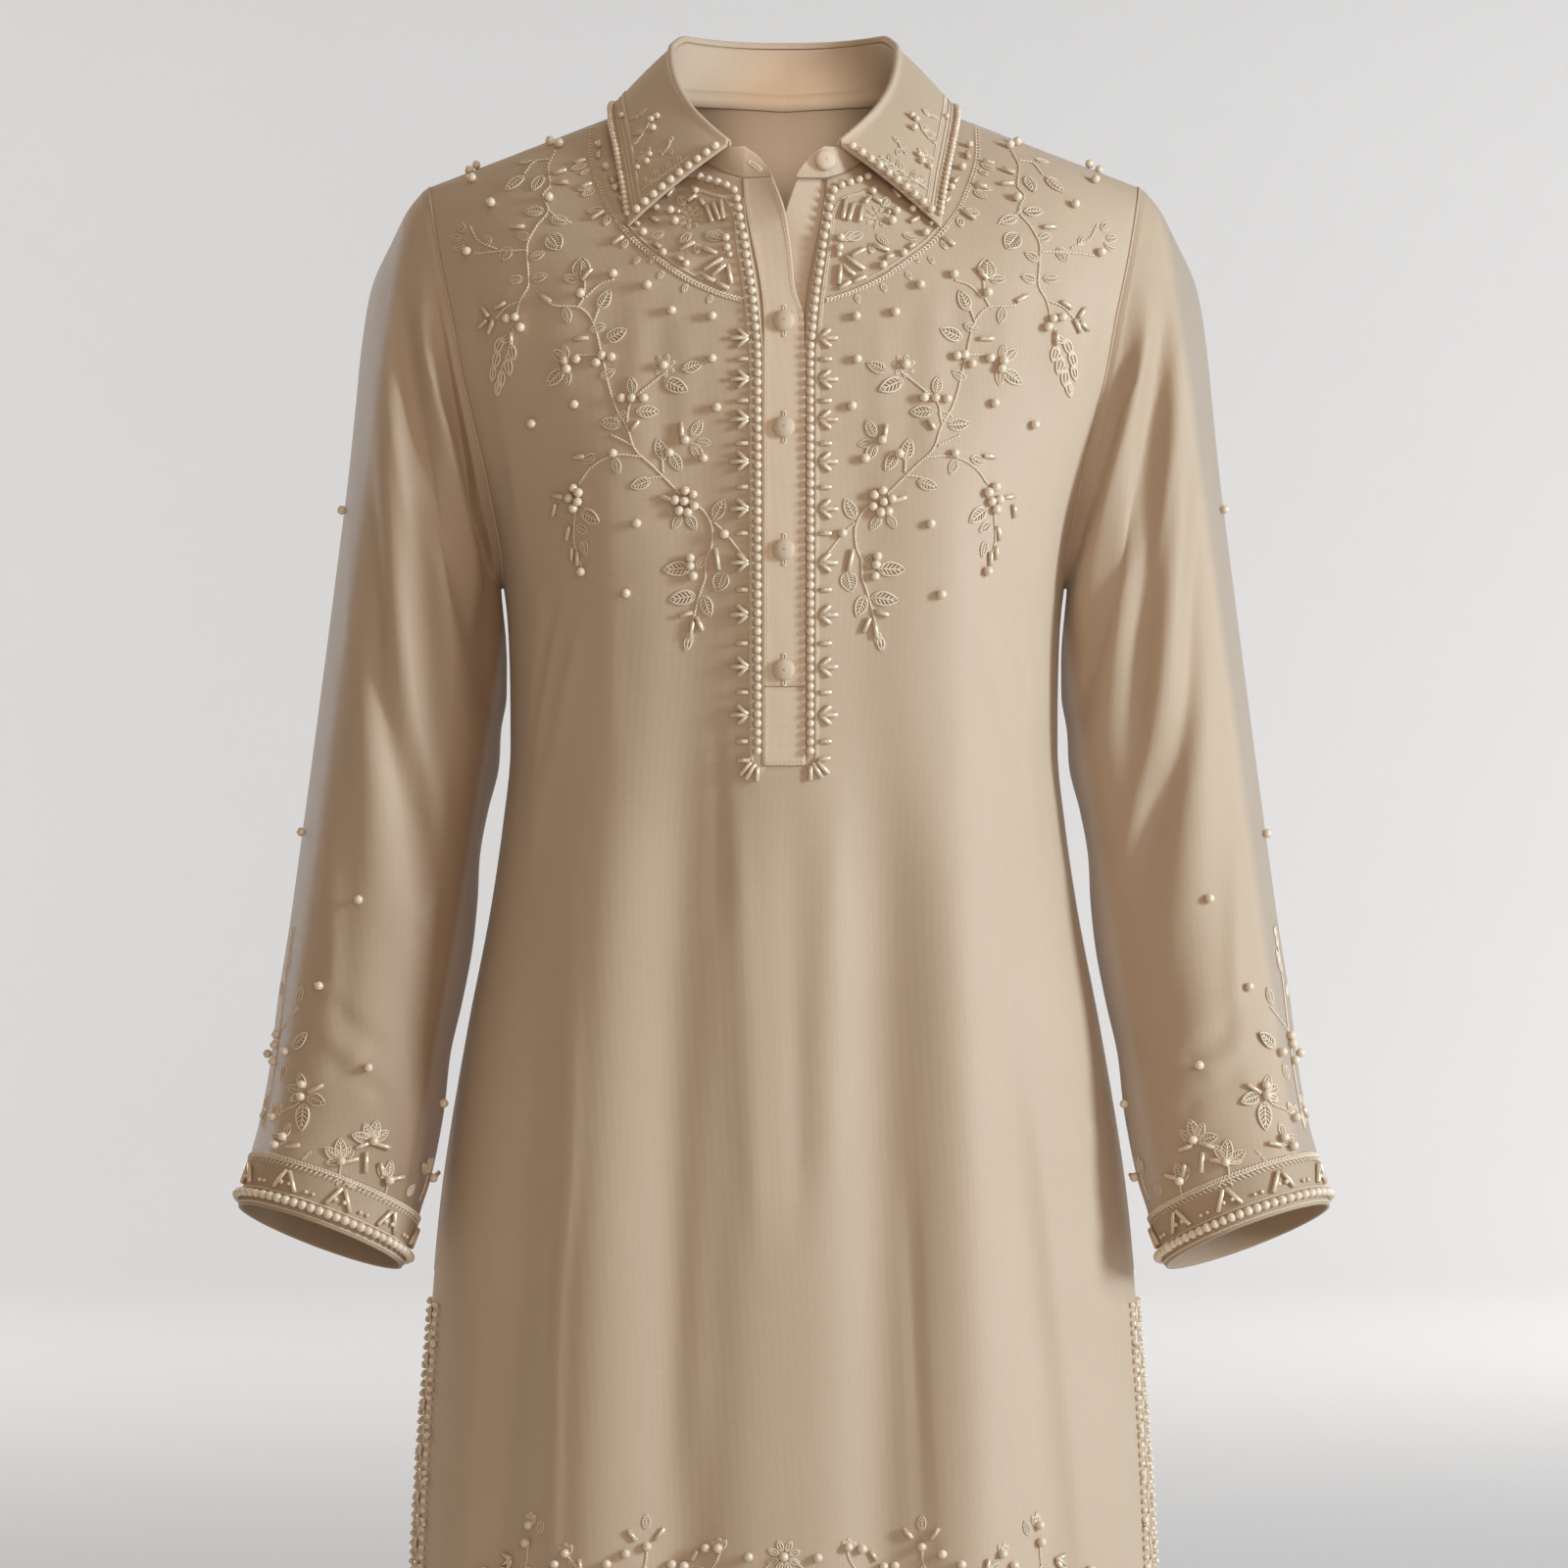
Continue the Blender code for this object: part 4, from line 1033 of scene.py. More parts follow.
button = {
    "profile": (
        (0.3, 0.0), (5.6, 0.05), (6.1, 0.5), (6.2, 1.1), (6.0, 1.9), (5.2, 2.75), (3.8, 3.45), (2.0, 3.9),
        (0.4, 4.05),
    ),
    "turns": 48,
    "heights": (-141.0, -202.0, -272.0, -340.0),
    "collarRise": 10.0,
    "lift": 0.85,
    "collarLift": 0.55,
}


def frameOf(normals, along):
    # for each place: a direction along the cloth, one across it and the one out of it
    along = unit(along - normals * (along * normals).sum(-1, keepdims=True))
    return np.stack([along, np.cross(normals, along), normals], axis=-2)


def coveredButton(name, place, facing):
    profile = np.array(button["profile"])
    angle = fullTurn(button["turns"])
    gathers = 1 + 0.012 * np.sin(angle * 12 + 0.7) * (profile[:, 0] > 5)[:, None]
    shape = np.stack([
        profile[:, :1] * np.cos(angle) * gathers,
        profile[:, :1] * np.sin(angle) * gathers,
        profile[:, 1:] + 0 * angle,
    ], axis=-1)
    made = tubeOf(f"{name}_covered", place + shape @ frameOf(facing, up))
    carried(made, "button_cloth", name)


buttonPlaces = []
for number, z in enumerate(button["heights"], 1):
    at = onBody(front, 0.0, z, fine=False)
    slope = onBody(front, 0.0, z + 5, fine=False) - onBody(front, 0.0, z - 5, fine=False)
    facing = frontward(unit(np.cross(slope, rightward)))
    buttonPlaces.append((at, facing))
    coveredButton(f"button_{number}", at + facing * button["lift"], facing)
endLow, endHigh = standEnd(1, collarFrames()[1][-1])
rise = endHigh[0] - endLow[0]
at = endLow[0] + rise * (button["collarRise"] / np.linalg.norm(rise))
facing = frontward(unit(np.cross(rise, endLow[5] - endLow[0])))
coveredButton("collar_button", at + facing * button["collarLift"], facing)
print("collar, placket and buttons made")


# ---- places on the cloth

class Face:
    # points with their outward directions, read by shares across and down, or where x and z meet them
    def __init__(self, points, facing, closed=False):
        self.points, self.closed = points, closed
        down = np.gradient(points, axis=0)
        if closed:
            across = np.roll(points, -1, axis=1) - np.roll(points, 1, axis=1)
        else:
            across = np.gradient(points, axis=1)
        normals = unit(np.cross(across, down))
        self.normals = normals if (normals * facing).sum() > 0 else -normals

    def at(self, u, v):
        u, v = np.broadcast_arrays(np.asarray(u, float), np.asarray(v, float))
        rows, columns = self.points.shape[:2]
        row = np.clip(v, 0, 1) * (rows - 1)
        above = np.clip(row.astype(int), 0, rows - 2)
        if self.closed:
            column = (u % 1.0) * columns
            before, across = column.astype(int) % columns, column - np.floor(column)
            after = (before + 1) % columns
        else:
            column = np.clip(u, 0, 1) * (columns - 1)
            before = np.clip(column.astype(int), 0, columns - 2)
            after, across = before + 1, column - before
        down, across = (row - above)[..., None], across[..., None]

        def blended(values):
            top = values[above, before] * (1 - across) + values[above, after] * across
            low = values[above + 1, before] * (1 - across) + values[above + 1, after] * across
            return top * (1 - down) + low * down

        return blended(self.points), unit(blended(self.normals))

    def spots(self, u, v, angle):
        # angle is measured on the cloth: 0 across to the viewer's right, 90 up
        place, normal = self.at(u, v)
        u, step, turn = np.asarray(u), 0.003, math.radians(angle)
        across = unit(self.at(u + step, v)[0] - self.at(u - step, v)[0])
        high = unit(np.cross(normal, across))
        high = high * np.sign(high[..., 2:])
        return place, normal, across * math.cos(turn) + high * math.sin(turn)

    def under(self, x, z):
        # where x and z meet the side that faces the front
        edgeOn = -0.12
        facing = self.normals[..., 1] < edgeOn
        near, out = self.points[facing], self.normals[facing]
        x, z = np.asarray(x, float), np.asarray(z, float)
        apart = (near[None, :, 0] - x[:, None]) ** 2 + (near[None, :, 2] - z[:, None]) ** 2
        best = np.argmin(apart, axis=1)
        p, n = near[best], out[best]
        y = p[:, 1] - (n[:, 0] * (x - p[:, 0]) + n[:, 2] * (z - p[:, 2])) / n[:, 1]
        return np.stack([x, y, z], axis=1), n


class Front:
    # the front of the body; x and z are as they look from the front, measured level with the foremost cloth
    eye, level, foremost = 3700.0, -405.0, -118.0

    def under(self, x, z):
        x, z = np.asarray(x, float), np.asarray(z, float)
        seen = x, z - self.level
        for _ in range(4):
            nearer = (self.eye + onBody(front, x, z)[..., 1]) / (self.eye + self.foremost)
            x, z = seen[0] * nearer, self.level + seen[1] * nearer
        place = onBody(front, x, z)
        across = onBody(front, x + 1.2, z) - onBody(front, x - 1.2, z)
        down = onBody(front, x, z + 1.2) - onBody(front, x, z - 1.2)
        return place, frontward(unit(np.cross(across, down)))


def aroundRing(face, v, pitch):
    # even steps of about pitch around a closed face
    u = np.linspace(0, 1, 721)
    line = face.at(u, v)[0]
    at = lengthsAlong(line)
    count = int(round(at[-1] / pitch))
    return np.interp(np.arange(count) / count * at[-1], at, u)


def alongFace(face, us, vs, pitch, start=0.5):
    # even steps along an open line through shares of a face
    line = face.at(us, vs)[0]
    at = lengthsAlong(line)
    want = np.arange(start * pitch, at[-1], pitch)
    return np.interp(want, at, us), np.interp(want, at, vs)


frontFace = Front()
sleeveFaces = {side: Face(grid, outOf(grid), True) for side, grid in sleeves.items()}
cuffFaces = {side: Face(grid, outOf(grid), True) for side, grid in cuffs.items()}
leafGrid = fallGrid[collar["foldRows"]:]
fallFace = Face(leafGrid, fromNeck(leafGrid) + 6 * up)
overFace = Face(overGrid, np.array([0, -1, 0]))
boxFace = Face(boxGrid, np.array([0, -1, 0]))
standFace = Face(standGrid, fromNeck(standGrid))


# ---- beads and stitches: templates are 1 long along +X, and are set out of the cloth along +Z

def ballShape(turns, rings):
    angles = np.linspace(0, math.pi, rings + 1)[1:-1]
    around = fullTurn(turns)
    middle = np.stack([
        np.outer(np.sin(angles), np.cos(around)),
        np.outer(np.sin(angles), np.sin(around)),
        np.outer(np.cos(angles), np.ones(turns)),
    ], axis=-1).reshape(-1, 3) / 2
    points = np.concatenate([middle, [up / 2, -up / 2]])
    top, low = len(points) - 2, len(points) - 1
    last = (rings - 2) * turns
    faces = []
    for i in range(turns):
        j = (i + 1) % turns
        faces.append((top, i, j))
        faces.append((low, last + j, last + i))
        for ring in range(rings - 2):
            a, b = ring * turns + i, ring * turns + j
            faces += [(a, a + turns, b + turns), (a, b + turns, b)]
    return points, np.array(faces)


def tubeShape(turns, stations):
    # stations are (place along, radius)
    points = [(x, r * math.cos(a), r * math.sin(a)) for x, r in stations for a in fullTurn(turns)]
    points += [(stations[0][0], 0, 0), (stations[-1][0], 0, 0)]
    faces = []
    last = (len(stations) - 1) * turns
    for i in range(turns):
        j = (i + 1) % turns
        faces += [(len(points) - 2, j, i), (len(points) - 1, last + i, last + j)]
        for ring in range(len(stations) - 1):
            a, b = ring * turns + i, ring * turns + j
            faces += [(a, b, b + turns), (a, b + turns, a + turns)]
    return np.array(points), np.array(faces)


def strandShape(places, radius):
    # one thread through the given places, rounded off at both ends
    places = np.asarray(places, float)
    along = alongOf(places)
    across = unit(np.cross(along, up))
    out = np.cross(across, along)
    around = fullTurn(4)
    swell = radius * np.clip(np.sin(np.linspace(0.25, math.pi - 0.25, len(places))) * 1.6, 0.3, 1)
    ring = across[:, None] * np.cos(around)[:, None] + out[:, None] * np.sin(around)[:, None]
    points = (places[:, None] + ring * swell[:, None, None]).reshape(-1, 3)
    return points, halved(gridFaces(len(places), len(around), closed=True))


# heights over the cloth and reaches, as shares of a leaf's length or half width
leaf = {
    "ground": 0.012,
    "edge": 0.03,
    "vein": 0.04,
    "middle": 0.055,
    "stitchLean": 0.2,
    "stitchReach": 0.92,
}


def leafHalf(width, share):
    return width / 2 * np.sin(math.pi * share ** 0.85) ** 0.8


def shadePlateShape(width):
    # a dark plate under a leaf's stitches, which paints the shade between them
    t = np.linspace(0, 1, 9)
    half, height = leafHalf(width, t), 0 * t + leaf["ground"]
    points = np.stack([np.stack([t, side * half, height], axis=1) for side in (-1, 0, 1)], axis=1)
    return points.reshape(-1, 3), halved(gridFaces(len(t), 3)[:, ::-1])


def leafShape(width, pairs, thick):
    # a worked leaf: its outline, the vein and slanting stitches between them
    t = np.linspace(0, 1, 9)
    half = leafHalf(width, t)
    strands = [(np.stack([t, side * half, 0 * t + leaf["edge"]], axis=1), thick) for side in (-1, 1)]
    vein = np.linspace(0, 0.92, 4)
    strands.append((np.stack([vein, 0 * vein, 0 * vein + leaf["vein"]], axis=1), thick))
    for start in np.linspace(0.1, 0.68, pairs):
        end = start + leaf["stitchLean"]
        for side in (-1, 1):
            reach = side * leafHalf(width, end)
            middle = ((start + end) / 2, reach * 0.5, leaf["middle"])
            tip = (end, reach * leaf["stitchReach"], leaf["edge"])
            strands.append((((start, 0, leaf["vein"]), middle, tip), thick * 0.8))
    points, faces, first = [], [], 0
    for places, radius in strands:
        made, shape = strandShape(places, radius)
        points.append(made)
        faces.append(shape + first)
        first += len(made)
    return np.concatenate(points), np.concatenate(faces)


shapes = {
    "pearl": ballShape(10, 7),
    "bugle": tubeShape(8, ((0.0, 0.6), (0.035, 1.0), (0.965, 1.0), (1.0, 0.6))),
    "stitch": tubeShape(4, ((0.0, 0.45), (0.5, 1.05), (1.0, 0.45))),
    "leaf": leafShape(0.50, 5, 0.045),
    "wideLeaf": leafShape(0.76, 6, 0.044),
    "petal": leafShape(0.44, 2, 0.07),
    # dark plates under the leaves, painted shade between their stitches
    "leafGround": shadePlateShape(0.50),
    "wideLeafGround": shadePlateShape(0.76),
    "petalGround": shadePlateShape(0.44),
}
heldShapes = {}


def addShapes(group, kind, spots, length, radius=None, look=None, lift=0.0, centred=False):
    # keeps copies of one shape for a joined mesh; spots are places, outward directions and directions along
    place, normal, along = (np.asarray(value, float).reshape(-1, 3) for value in spots)
    length = np.broadcast_to(np.asarray(length, float), (len(place),))
    thick = length if radius is None else np.full(len(place), radius)
    points, faces = shapes[kind]
    axes = np.broadcast_to(frameOf(normal, along), (len(place), 3, 3))
    local = points[None] * np.stack([length, thick, thick], axis=-1)[:, None]
    if centred:
        local[..., 0] -= length[:, None] / 2
    start = place + normal * np.reshape(lift, (-1, 1))
    world = np.einsum("nki,nij->nkj", local, axes) + start[:, None]
    heldShapes.setdefault((group, look), []).append((world, faces))


def joinShapes():
    for (group, look), held in heldShapes.items():
        points, faces, start = [], [], 0
        for world, shape in held:
            count, size = world.shape[:2]
            points.append(world.reshape(-1, 3))
            firsts = start + np.arange(count) * size
            faces.append((shape[None] + firsts[:, None, None]).reshape(-1, 3))
            start += count * size
        piece = meshOf(f"{group}_{look}", np.concatenate(points), np.concatenate(faces))
        carried(piece, trimSlots.get(group, "body_cloth"), look=looks[look])
        print(f"  {piece.name}: {len(piece.data.polygons)} triangles")


trimSlots = {
    "cuff_left": "band_cloth",
    "cuff_right": "band_cloth",
    "collar": "collar_cloth",
    "sleeve_left": "sleeve_cloth",
    "sleeve_right": "sleeve_cloth",
}
sizes = {
    "pearl": 5.5,
    "rowPearl": 4.7,
    "smallPearl": 3.6,
    "bugleRadius": 1.4,
    "stitch": 2.7,
    "stitchRadius": 0.7,
}
# distance between a braid's rows, slant of single and braided stitches, lift off the cloth
cord = {"spacing": 1.25, "slant": 0.32, "braidSlant": 0.55, "braidLength": 1.05, "lift": 0.42}
# how far the right half's work strays from a true mirror: places, angles and whole stems
stray = {"place": 0.9, "angle": 7.0, "stem": 0.8}


def pearls(group, spots, size=sizes["pearl"]):
    count = spots[0].size // 3
    across = size * (1 + 0.03 * rng.standard_normal(count))
    addShapes(group, "pearl", spots, across, look="pearl", lift=across * 0.46)


def bugles(group, spots, length, centred=False):
    radius = sizes["bugleRadius"]
    addShapes(group, "bugle", spots, length, radius, look="bugle", lift=radius * 1.02, centred=centred)


def cordOn(group, places, normals, rows=1, wide=1.0):
    # slanting stitches laid end over end along a line of places 2 mm apart; two rows make a braid
    along = alongOf(places)
    across = np.cross(normals, along)
    radius, lift = sizes["stitchRadius"] * wide, cord["lift"] * wide
    for row in range(rows):
        shift = (row - (rows - 1) / 2) * cord["spacing"] * wide
        slant = cord["slant"] if rows == 1 else cord["braidSlant"] * (1 if row % 2 else -1)
        spots = places + across * shift, normals, along + across * slant
        length = sizes["stitch"] * (1.0 if rows == 1 else cord["braidLength"]) * wide
        addShapes(group, "stitch", spots, length, radius, look="thread", lift=lift, centred=True)


def stem(group, face, line, rows=1, wide=1.0, step=1.9):
    line = spaced(line, step)
    places, normals = face.under(line[:, 0], line[:, 1])
    if len(places) > 1:
        cordOn(group, places, normals, rows, wide)


def laid(group, face, kind, marks, centred=False, growth=1.0):
    # marks are (x, z) or (x, z, size) for pearls, (x, z, angle, length) for the rest, seen from the front
    marks = np.array(marks, float)
    places, normals = face.under(marks[:, 0], marks[:, 1])
    if marks.shape[1] < 4:
        size = marks[:, 2] if marks.shape[1] == 3 else sizes["pearl"]
        return pearls(group, (places, normals, rightward), size)
    turn = np.radians(marks[:, 2])
    along = np.stack([np.cos(turn), 0 * turn, np.sin(turn)], axis=1)
    spots = places, normals, along
    if kind == "bugle":
        return bugles(group, spots, marks[:, 3], centred)
    # stitches in thread, over a plate of painted shade
    for part, look in ((kind, "thread"), (kind + "Ground", "ground")):
        addShapes(group, part, spots, marks[:, 3] * growth, look=look, lift=0.2, centred=centred)


def strayed(most, shape):
    return rng.uniform(-most, most, shape)


def mirroredMarks(marks):
    marks = np.array(marks, float)
    marks[:, 0] *= -1
    marks[:, :2] += strayed(stray["place"], (len(marks), 2))
    if marks.shape[1] == 4:
        marks[:, 2] = 180 - marks[:, 2] + strayed(stray["angle"], len(marks))
    return marks


def bothSides(group, table, rightGroup=None, face=None, rightFace=None, centred=False, growth=1.0):
    # the table holds the viewer's left half; the right half is its mirror, a little uneven as handwork is
    face = face or frontFace
    for kind, marks in table.items():
        for half in (-1, 1):
            where = group if half < 0 else rightGroup or group
            on = face if half < 0 else rightFace or face
            if kind == "stem":
                for line in marks:
                    line = np.array(line, float)
                    if half > 0:
                        line = line * [-1, 1] + strayed(stray["stem"], 2)
                    stem(where, on, line)
            else:
                laid(where, on, kind, marks if half < 0 else mirroredMarks(marks), centred, growth)


# ---- vines over the chest: marks are (x, z) for pearls, (x, z, angle, length) for the rest

yokeVine = {
    "stem": (
        ((-130, -46), (-134, -55), (-133, -65), (-137, -71), (-134, -79), (-141, -89), (-146, -101),
         (-145.5, -112), (-145, -120), (-150, -131), (-152, -139)),
        ((-147, -102), (-163, -102.6), (-175, -104)),
        ((-164, -101), (-174, -96), (-178, -89)),
        ((-147, -58), (-141.7, -51.8), (-135, -50.5)),
        ((-150, -131), (-157, -134), (-163, -140)),
        ((-153.7, -146.7), (-156.4, -160), (-160.4, -170.8), (-163, -182.8)),
        ((-134, -79), (-128, -84), (-122, -86)),
    ),
    "leaf": (
        (-183, -89, 130, 8), (-186, -95, 160, 8), (-184.5, -100, 190, 8), (-168, -96, 120, 7),
        (-141.7, -80, 170, 11), (-127.6, -85, -25, 11), (-147, -51.8, 175, 8), (-153, -64, 235, 13),
        (-140, -64, 260, 12), (-152.4, -118.6, 180, 9), (-139, -117.3, 10, 9), (-148, -94, 150, 9),
        (-140, -105, 20, 9),
    ),
    "wideLeaf": ((-130.3, -97.3, -55, 12), (-158, -104, 235, 9)),
    "petal": (
        (-161.7, -156, 240, 10), (-163, -164, 245, 10), (-165, -172, 250, 9), (-154, -160, 280, 9),
        (-156, -168, 280, 10), (-160, -175, 260, 10), (-162, -180, 255, 9), (-157, -152, 210, 8),
    ),
    "bugle": (
        (-151, -89, -10, 9), (-160.4, -133.4, 200, 8), (-171, -144, 205, 9), (-169, -137, 140, 8),
        (-165.7, -145.4, 240, 9), (-154.4, -152, 275, 8), (-127, -58, 20, 8), (-126, -64, -15, 8),
    ),
    "pearl": (
        (-179, -103), (-165.5, -76), (-179, -56.5), (-174, -55), (-176.4, -62.5), (-132.3, -41.8),
        (-127.2, -43), (-133, -73), (-156.4, -140.7), (-152, -140), (-149, -145.8),
    ),
}
chestVine = {
    "stem": (
        ((-139, -128), (-129.6, -133.4), (-117.6, -134), (-111.6, -138), (-108, -144), (-106, -150.7),
         (-104, -160), (-102, -168), (-99.5, -179), (-95.5, -191), (-89, -202.5), (-84.4, -215),
         (-75, -224.3), (-67.3, -232), (-59.5, -240)),
        ((-53, -246), (-48.5, -247.7), (-43, -254), (-40.7, -261.8), (-41.5, -271), (-44.6, -279),
         (-44.6, -286.7), (-47, -294.5), (-49.3, -302.3), (-51.7, -311.7), (-54, -322)),
        ((-39.2, -257), (-33, -263), (-26.7, -271), (-20.5, -278)),
        ((-117, -134), (-114, -129), (-113, -120)),
        ((-112, -128), (-104, -121), (-97.5, -118.7)),
        ((-107.6, -141.4), (-104, -132)),
        ((-104, -161.4), (-117.6, -161.4)),
        ((-88.9, -198.9), (-86.9, -188.2), (-81.5, -182.8), (-72, -174.8), (-66.8, -170.8)),
        ((-97.5, -207), (-87, -212)),
        ((-68.8, -227), (-69.5, -217.6)),
        ((-82, -219), (-92.2, -218), (-101.6, -220.4), (-109.4, -226), (-114.8, -233.7)),
        ((-117.2, -249.3), (-118, -264.9), (-114, -280.5)),
        ((-76.6, -231.4), (-70.4, -230.6)),
    ),
    "leaf": (
        (-121, -118, 165, 9), (-102, -130, 60, 12), (-123, -138.7, 285, 9), (-95.5, -150, 25, 13),
        (-128, -161.4, 150, 10), (-124, -160, 100, 8), (-129.6, -174, 215, 13), (-123, -174, 280, 9),
        (-86.2, -178.8, 100, 10), (-77.5, -193.5, 0, 12), (-98.2, -200.2, 170, 12), (-52, -168, 20, 11),
        (-61.4, -178.8, -25, 14), (-49.4, -203, 60, 10), (-45.4, -211, -10, 8), (-49.4, -216.3, -60, 10),
        (-70, -215, 110, 12), (-61.4, -222, -60, 11), (-94.6, -224.3, 290, 9), (-110, -220.4, 200, 9),
        (-108.6, -253.2, -25, 13), (-113.3, -260.2, -20, 9), (-111.7, -271, 290, 9),
        (-81.3, -234.5, 200, 11), (-61, -256.3, 240, 8), (-52.4, -256.3, 300, 9), (-36.8, -249.3, 60, 12),
        (-61, -282.8, 185, 14), (-47, -279, 60, 8), (-57.9, -299.2, 190, 14), (-43.9, -303.9, 290, 12),
        (-100, -172, 30, 9), (-92, -196, 30, 9), (-106, -146, 200, 9),
    ),
    "wideLeaf": ((-115, -112, 90, 12), (-36, -290, 250, 11)),
    "petal": ((-54.8, -325, 260, 8), (-54, -322, 230, 6), (-53.5, -322, 290, 6)),
    "bugle": (
        (-111.6, -116, 50, 9), (-135, -129.3, -30, 9), (-115, -152, 180, 9), (-84.2, -201.5, 50, 7),
        (-58, -204, 95, 9), (-115.6, -219.3, 180, 8), (-126.8, -241.5, 175, 8), (-128.9, -249.3, 245, 8),
        (-120.8, -262.6, 250, 9), (-118.4, -274.3, 265, 8), (-115.2, -277.4, 270, 8),
        (-65.7, -243, 165, 10), (-37.6, -277.4, 280, 13), (-47.8, -314, 295, 9), (-52.4, -317.2, 260, 10),
        (-55.6, -308.6, 195, 8),
    ),
    "pearl": (
        (-96.5, -115.7), (-115, -126.7), (-106.2, -166), (-103, -162), (-97.5, -162.8), (-123.6, -164.8),
        (-117.3, -164), (-122.5, -169.5), (-91.5, -186.2), (-85.8, -186.2), (-79.5, -186.2), (-68, -167.5),
        (-56, -209.6), (-45.4, -220), (-64.8, -217), (-96, -217.3), (-117.5, -236.8), (-114.4, -239.5),
        (-119.8, -242.6), (-114.8, -244.6), (-117.2, -248.5), (-56.7, -244.6), (-56, -238.7),
        (-51.3, -240.7), (-50.6, -247.3), (-54.5, -250.9), (-59.5, -250), (-62, -244), (-33.3, -263.3),
        (-53, -276.6), (-53, -281.3), (-51.3, -287), (-112.5, -284.4), (-77.4, -121.7), (-63.5, -136.2),
        (-40.7, -139.5), (-40.7, -163.5), (-37.9, -191.3), (-118, -189.6), (-142, -200.2), (-83, -257),
        (-88.6, -296.6),
    ),
}
bothSides("yoke_vine", yokeVine, centred=True, growth=1.1)
bothSides("chest_vine", chestVine, centred=True, growth=1.1)


def ringOfStitches(group, face, x, z, radius, count, length):
    # a small flower or bud worked in loops around its middle
    turn = np.arange(count) / count * 360 + 20
    xs, zs = x + radius * np.cos(np.radians(turn)), z + radius * np.sin(np.radians(turn))
    laid(group, face, "petal", np.stack([xs, zs, turn, 0 * turn + length], axis=1))


# x, z, radius, number and length of stitches
flowers = ((68, -167.5, 1.6, 7, 5.5), (52.8, -83.2, 3.4, 9, 4), (52.8, -83.2, 0.8, 6, 3))
for half in (-1, 1):
    for x, *flower in flowers:
        ringOfStitches("chest_vine", frontFace, half * x, *flower)
print("chest worked")

# ---- trim beside the placket, and the yoke's braid

trim = {
    "pearlLine": ((-47.2, -61.2), (-40.5, -63.5), (-33.8, -65.3), (-27.6, -69), (-26.2, -74), (-24.5, -85.8),
                  (-22.4, -96.6), (-21.1, -107), (-18.9, -120), (-16.2, -145), (-15, -160), (-14.8, -220),
                  (-14.8, -300), (-14.8, -386)),
    "cordLine": ((-52, -66), (-42, -70), (-33, -73), (-29.4, -78), (-26.3, -98), (-22.8, -121), (-20.2, -146),
                 (-18.8, -162), (-18.7, -240), (-18.7, -320), (-18.7, -391)),
    "edgeLine": ((-23.2, -73), (-20.2, -96), (-16.4, -121), (-13.4, -146), (-12, -162), (-11.9, -240),
                 (-11.9, -320), (-11.9, -393.6), (0, -394)),
    "pearlPitch": 5.2,
    "fans": (-151.8, -175.2, -198, -221.9, -248.7, -279.3, -308.8, -338.4, -365.7),
    "bars": (-163.8, -187.4, -211.6, -236.4, -262.6, -294.6, -325, -352.8, -380.7),
    "fanX": -19.8,
    # bugles of one fan and one bar: lean, length, distance out
    "fan": ((0, 9.6, 1.2), (40, 8, 0.4), (-40, 8.4, 0.4)),
    "bar": ((0, 6.8, 0.4),),
    "outerCord": ((-109.5, -33), (-110, -45), (-108.6, -55), (-104.6, -66.4), (-100.2, -76.9), (-92, -88.8)),
    "braid": ((-92, -88.8), (-84, -97.6), (-76.3, -103.7), (-67.3, -110), (-56.9, -117.1), (-46.5, -122.4),
              (-35.3, -126.9), (-24.6, -130)),
    "innerCord": ((-88, -88), (-80, -96.5), (-71.5, -103), (-62, -109.6), (-52, -115.6), (-47, -118)),
    # line, rows of stitches, size
    "cords": (("cordLine", 2, 0.8), ("edgeLine", 1, 0.62), ("outerCord", 2, 0.9), ("braid", 2, 1.1),
              ("innerCord", 1, 0.8)),
}
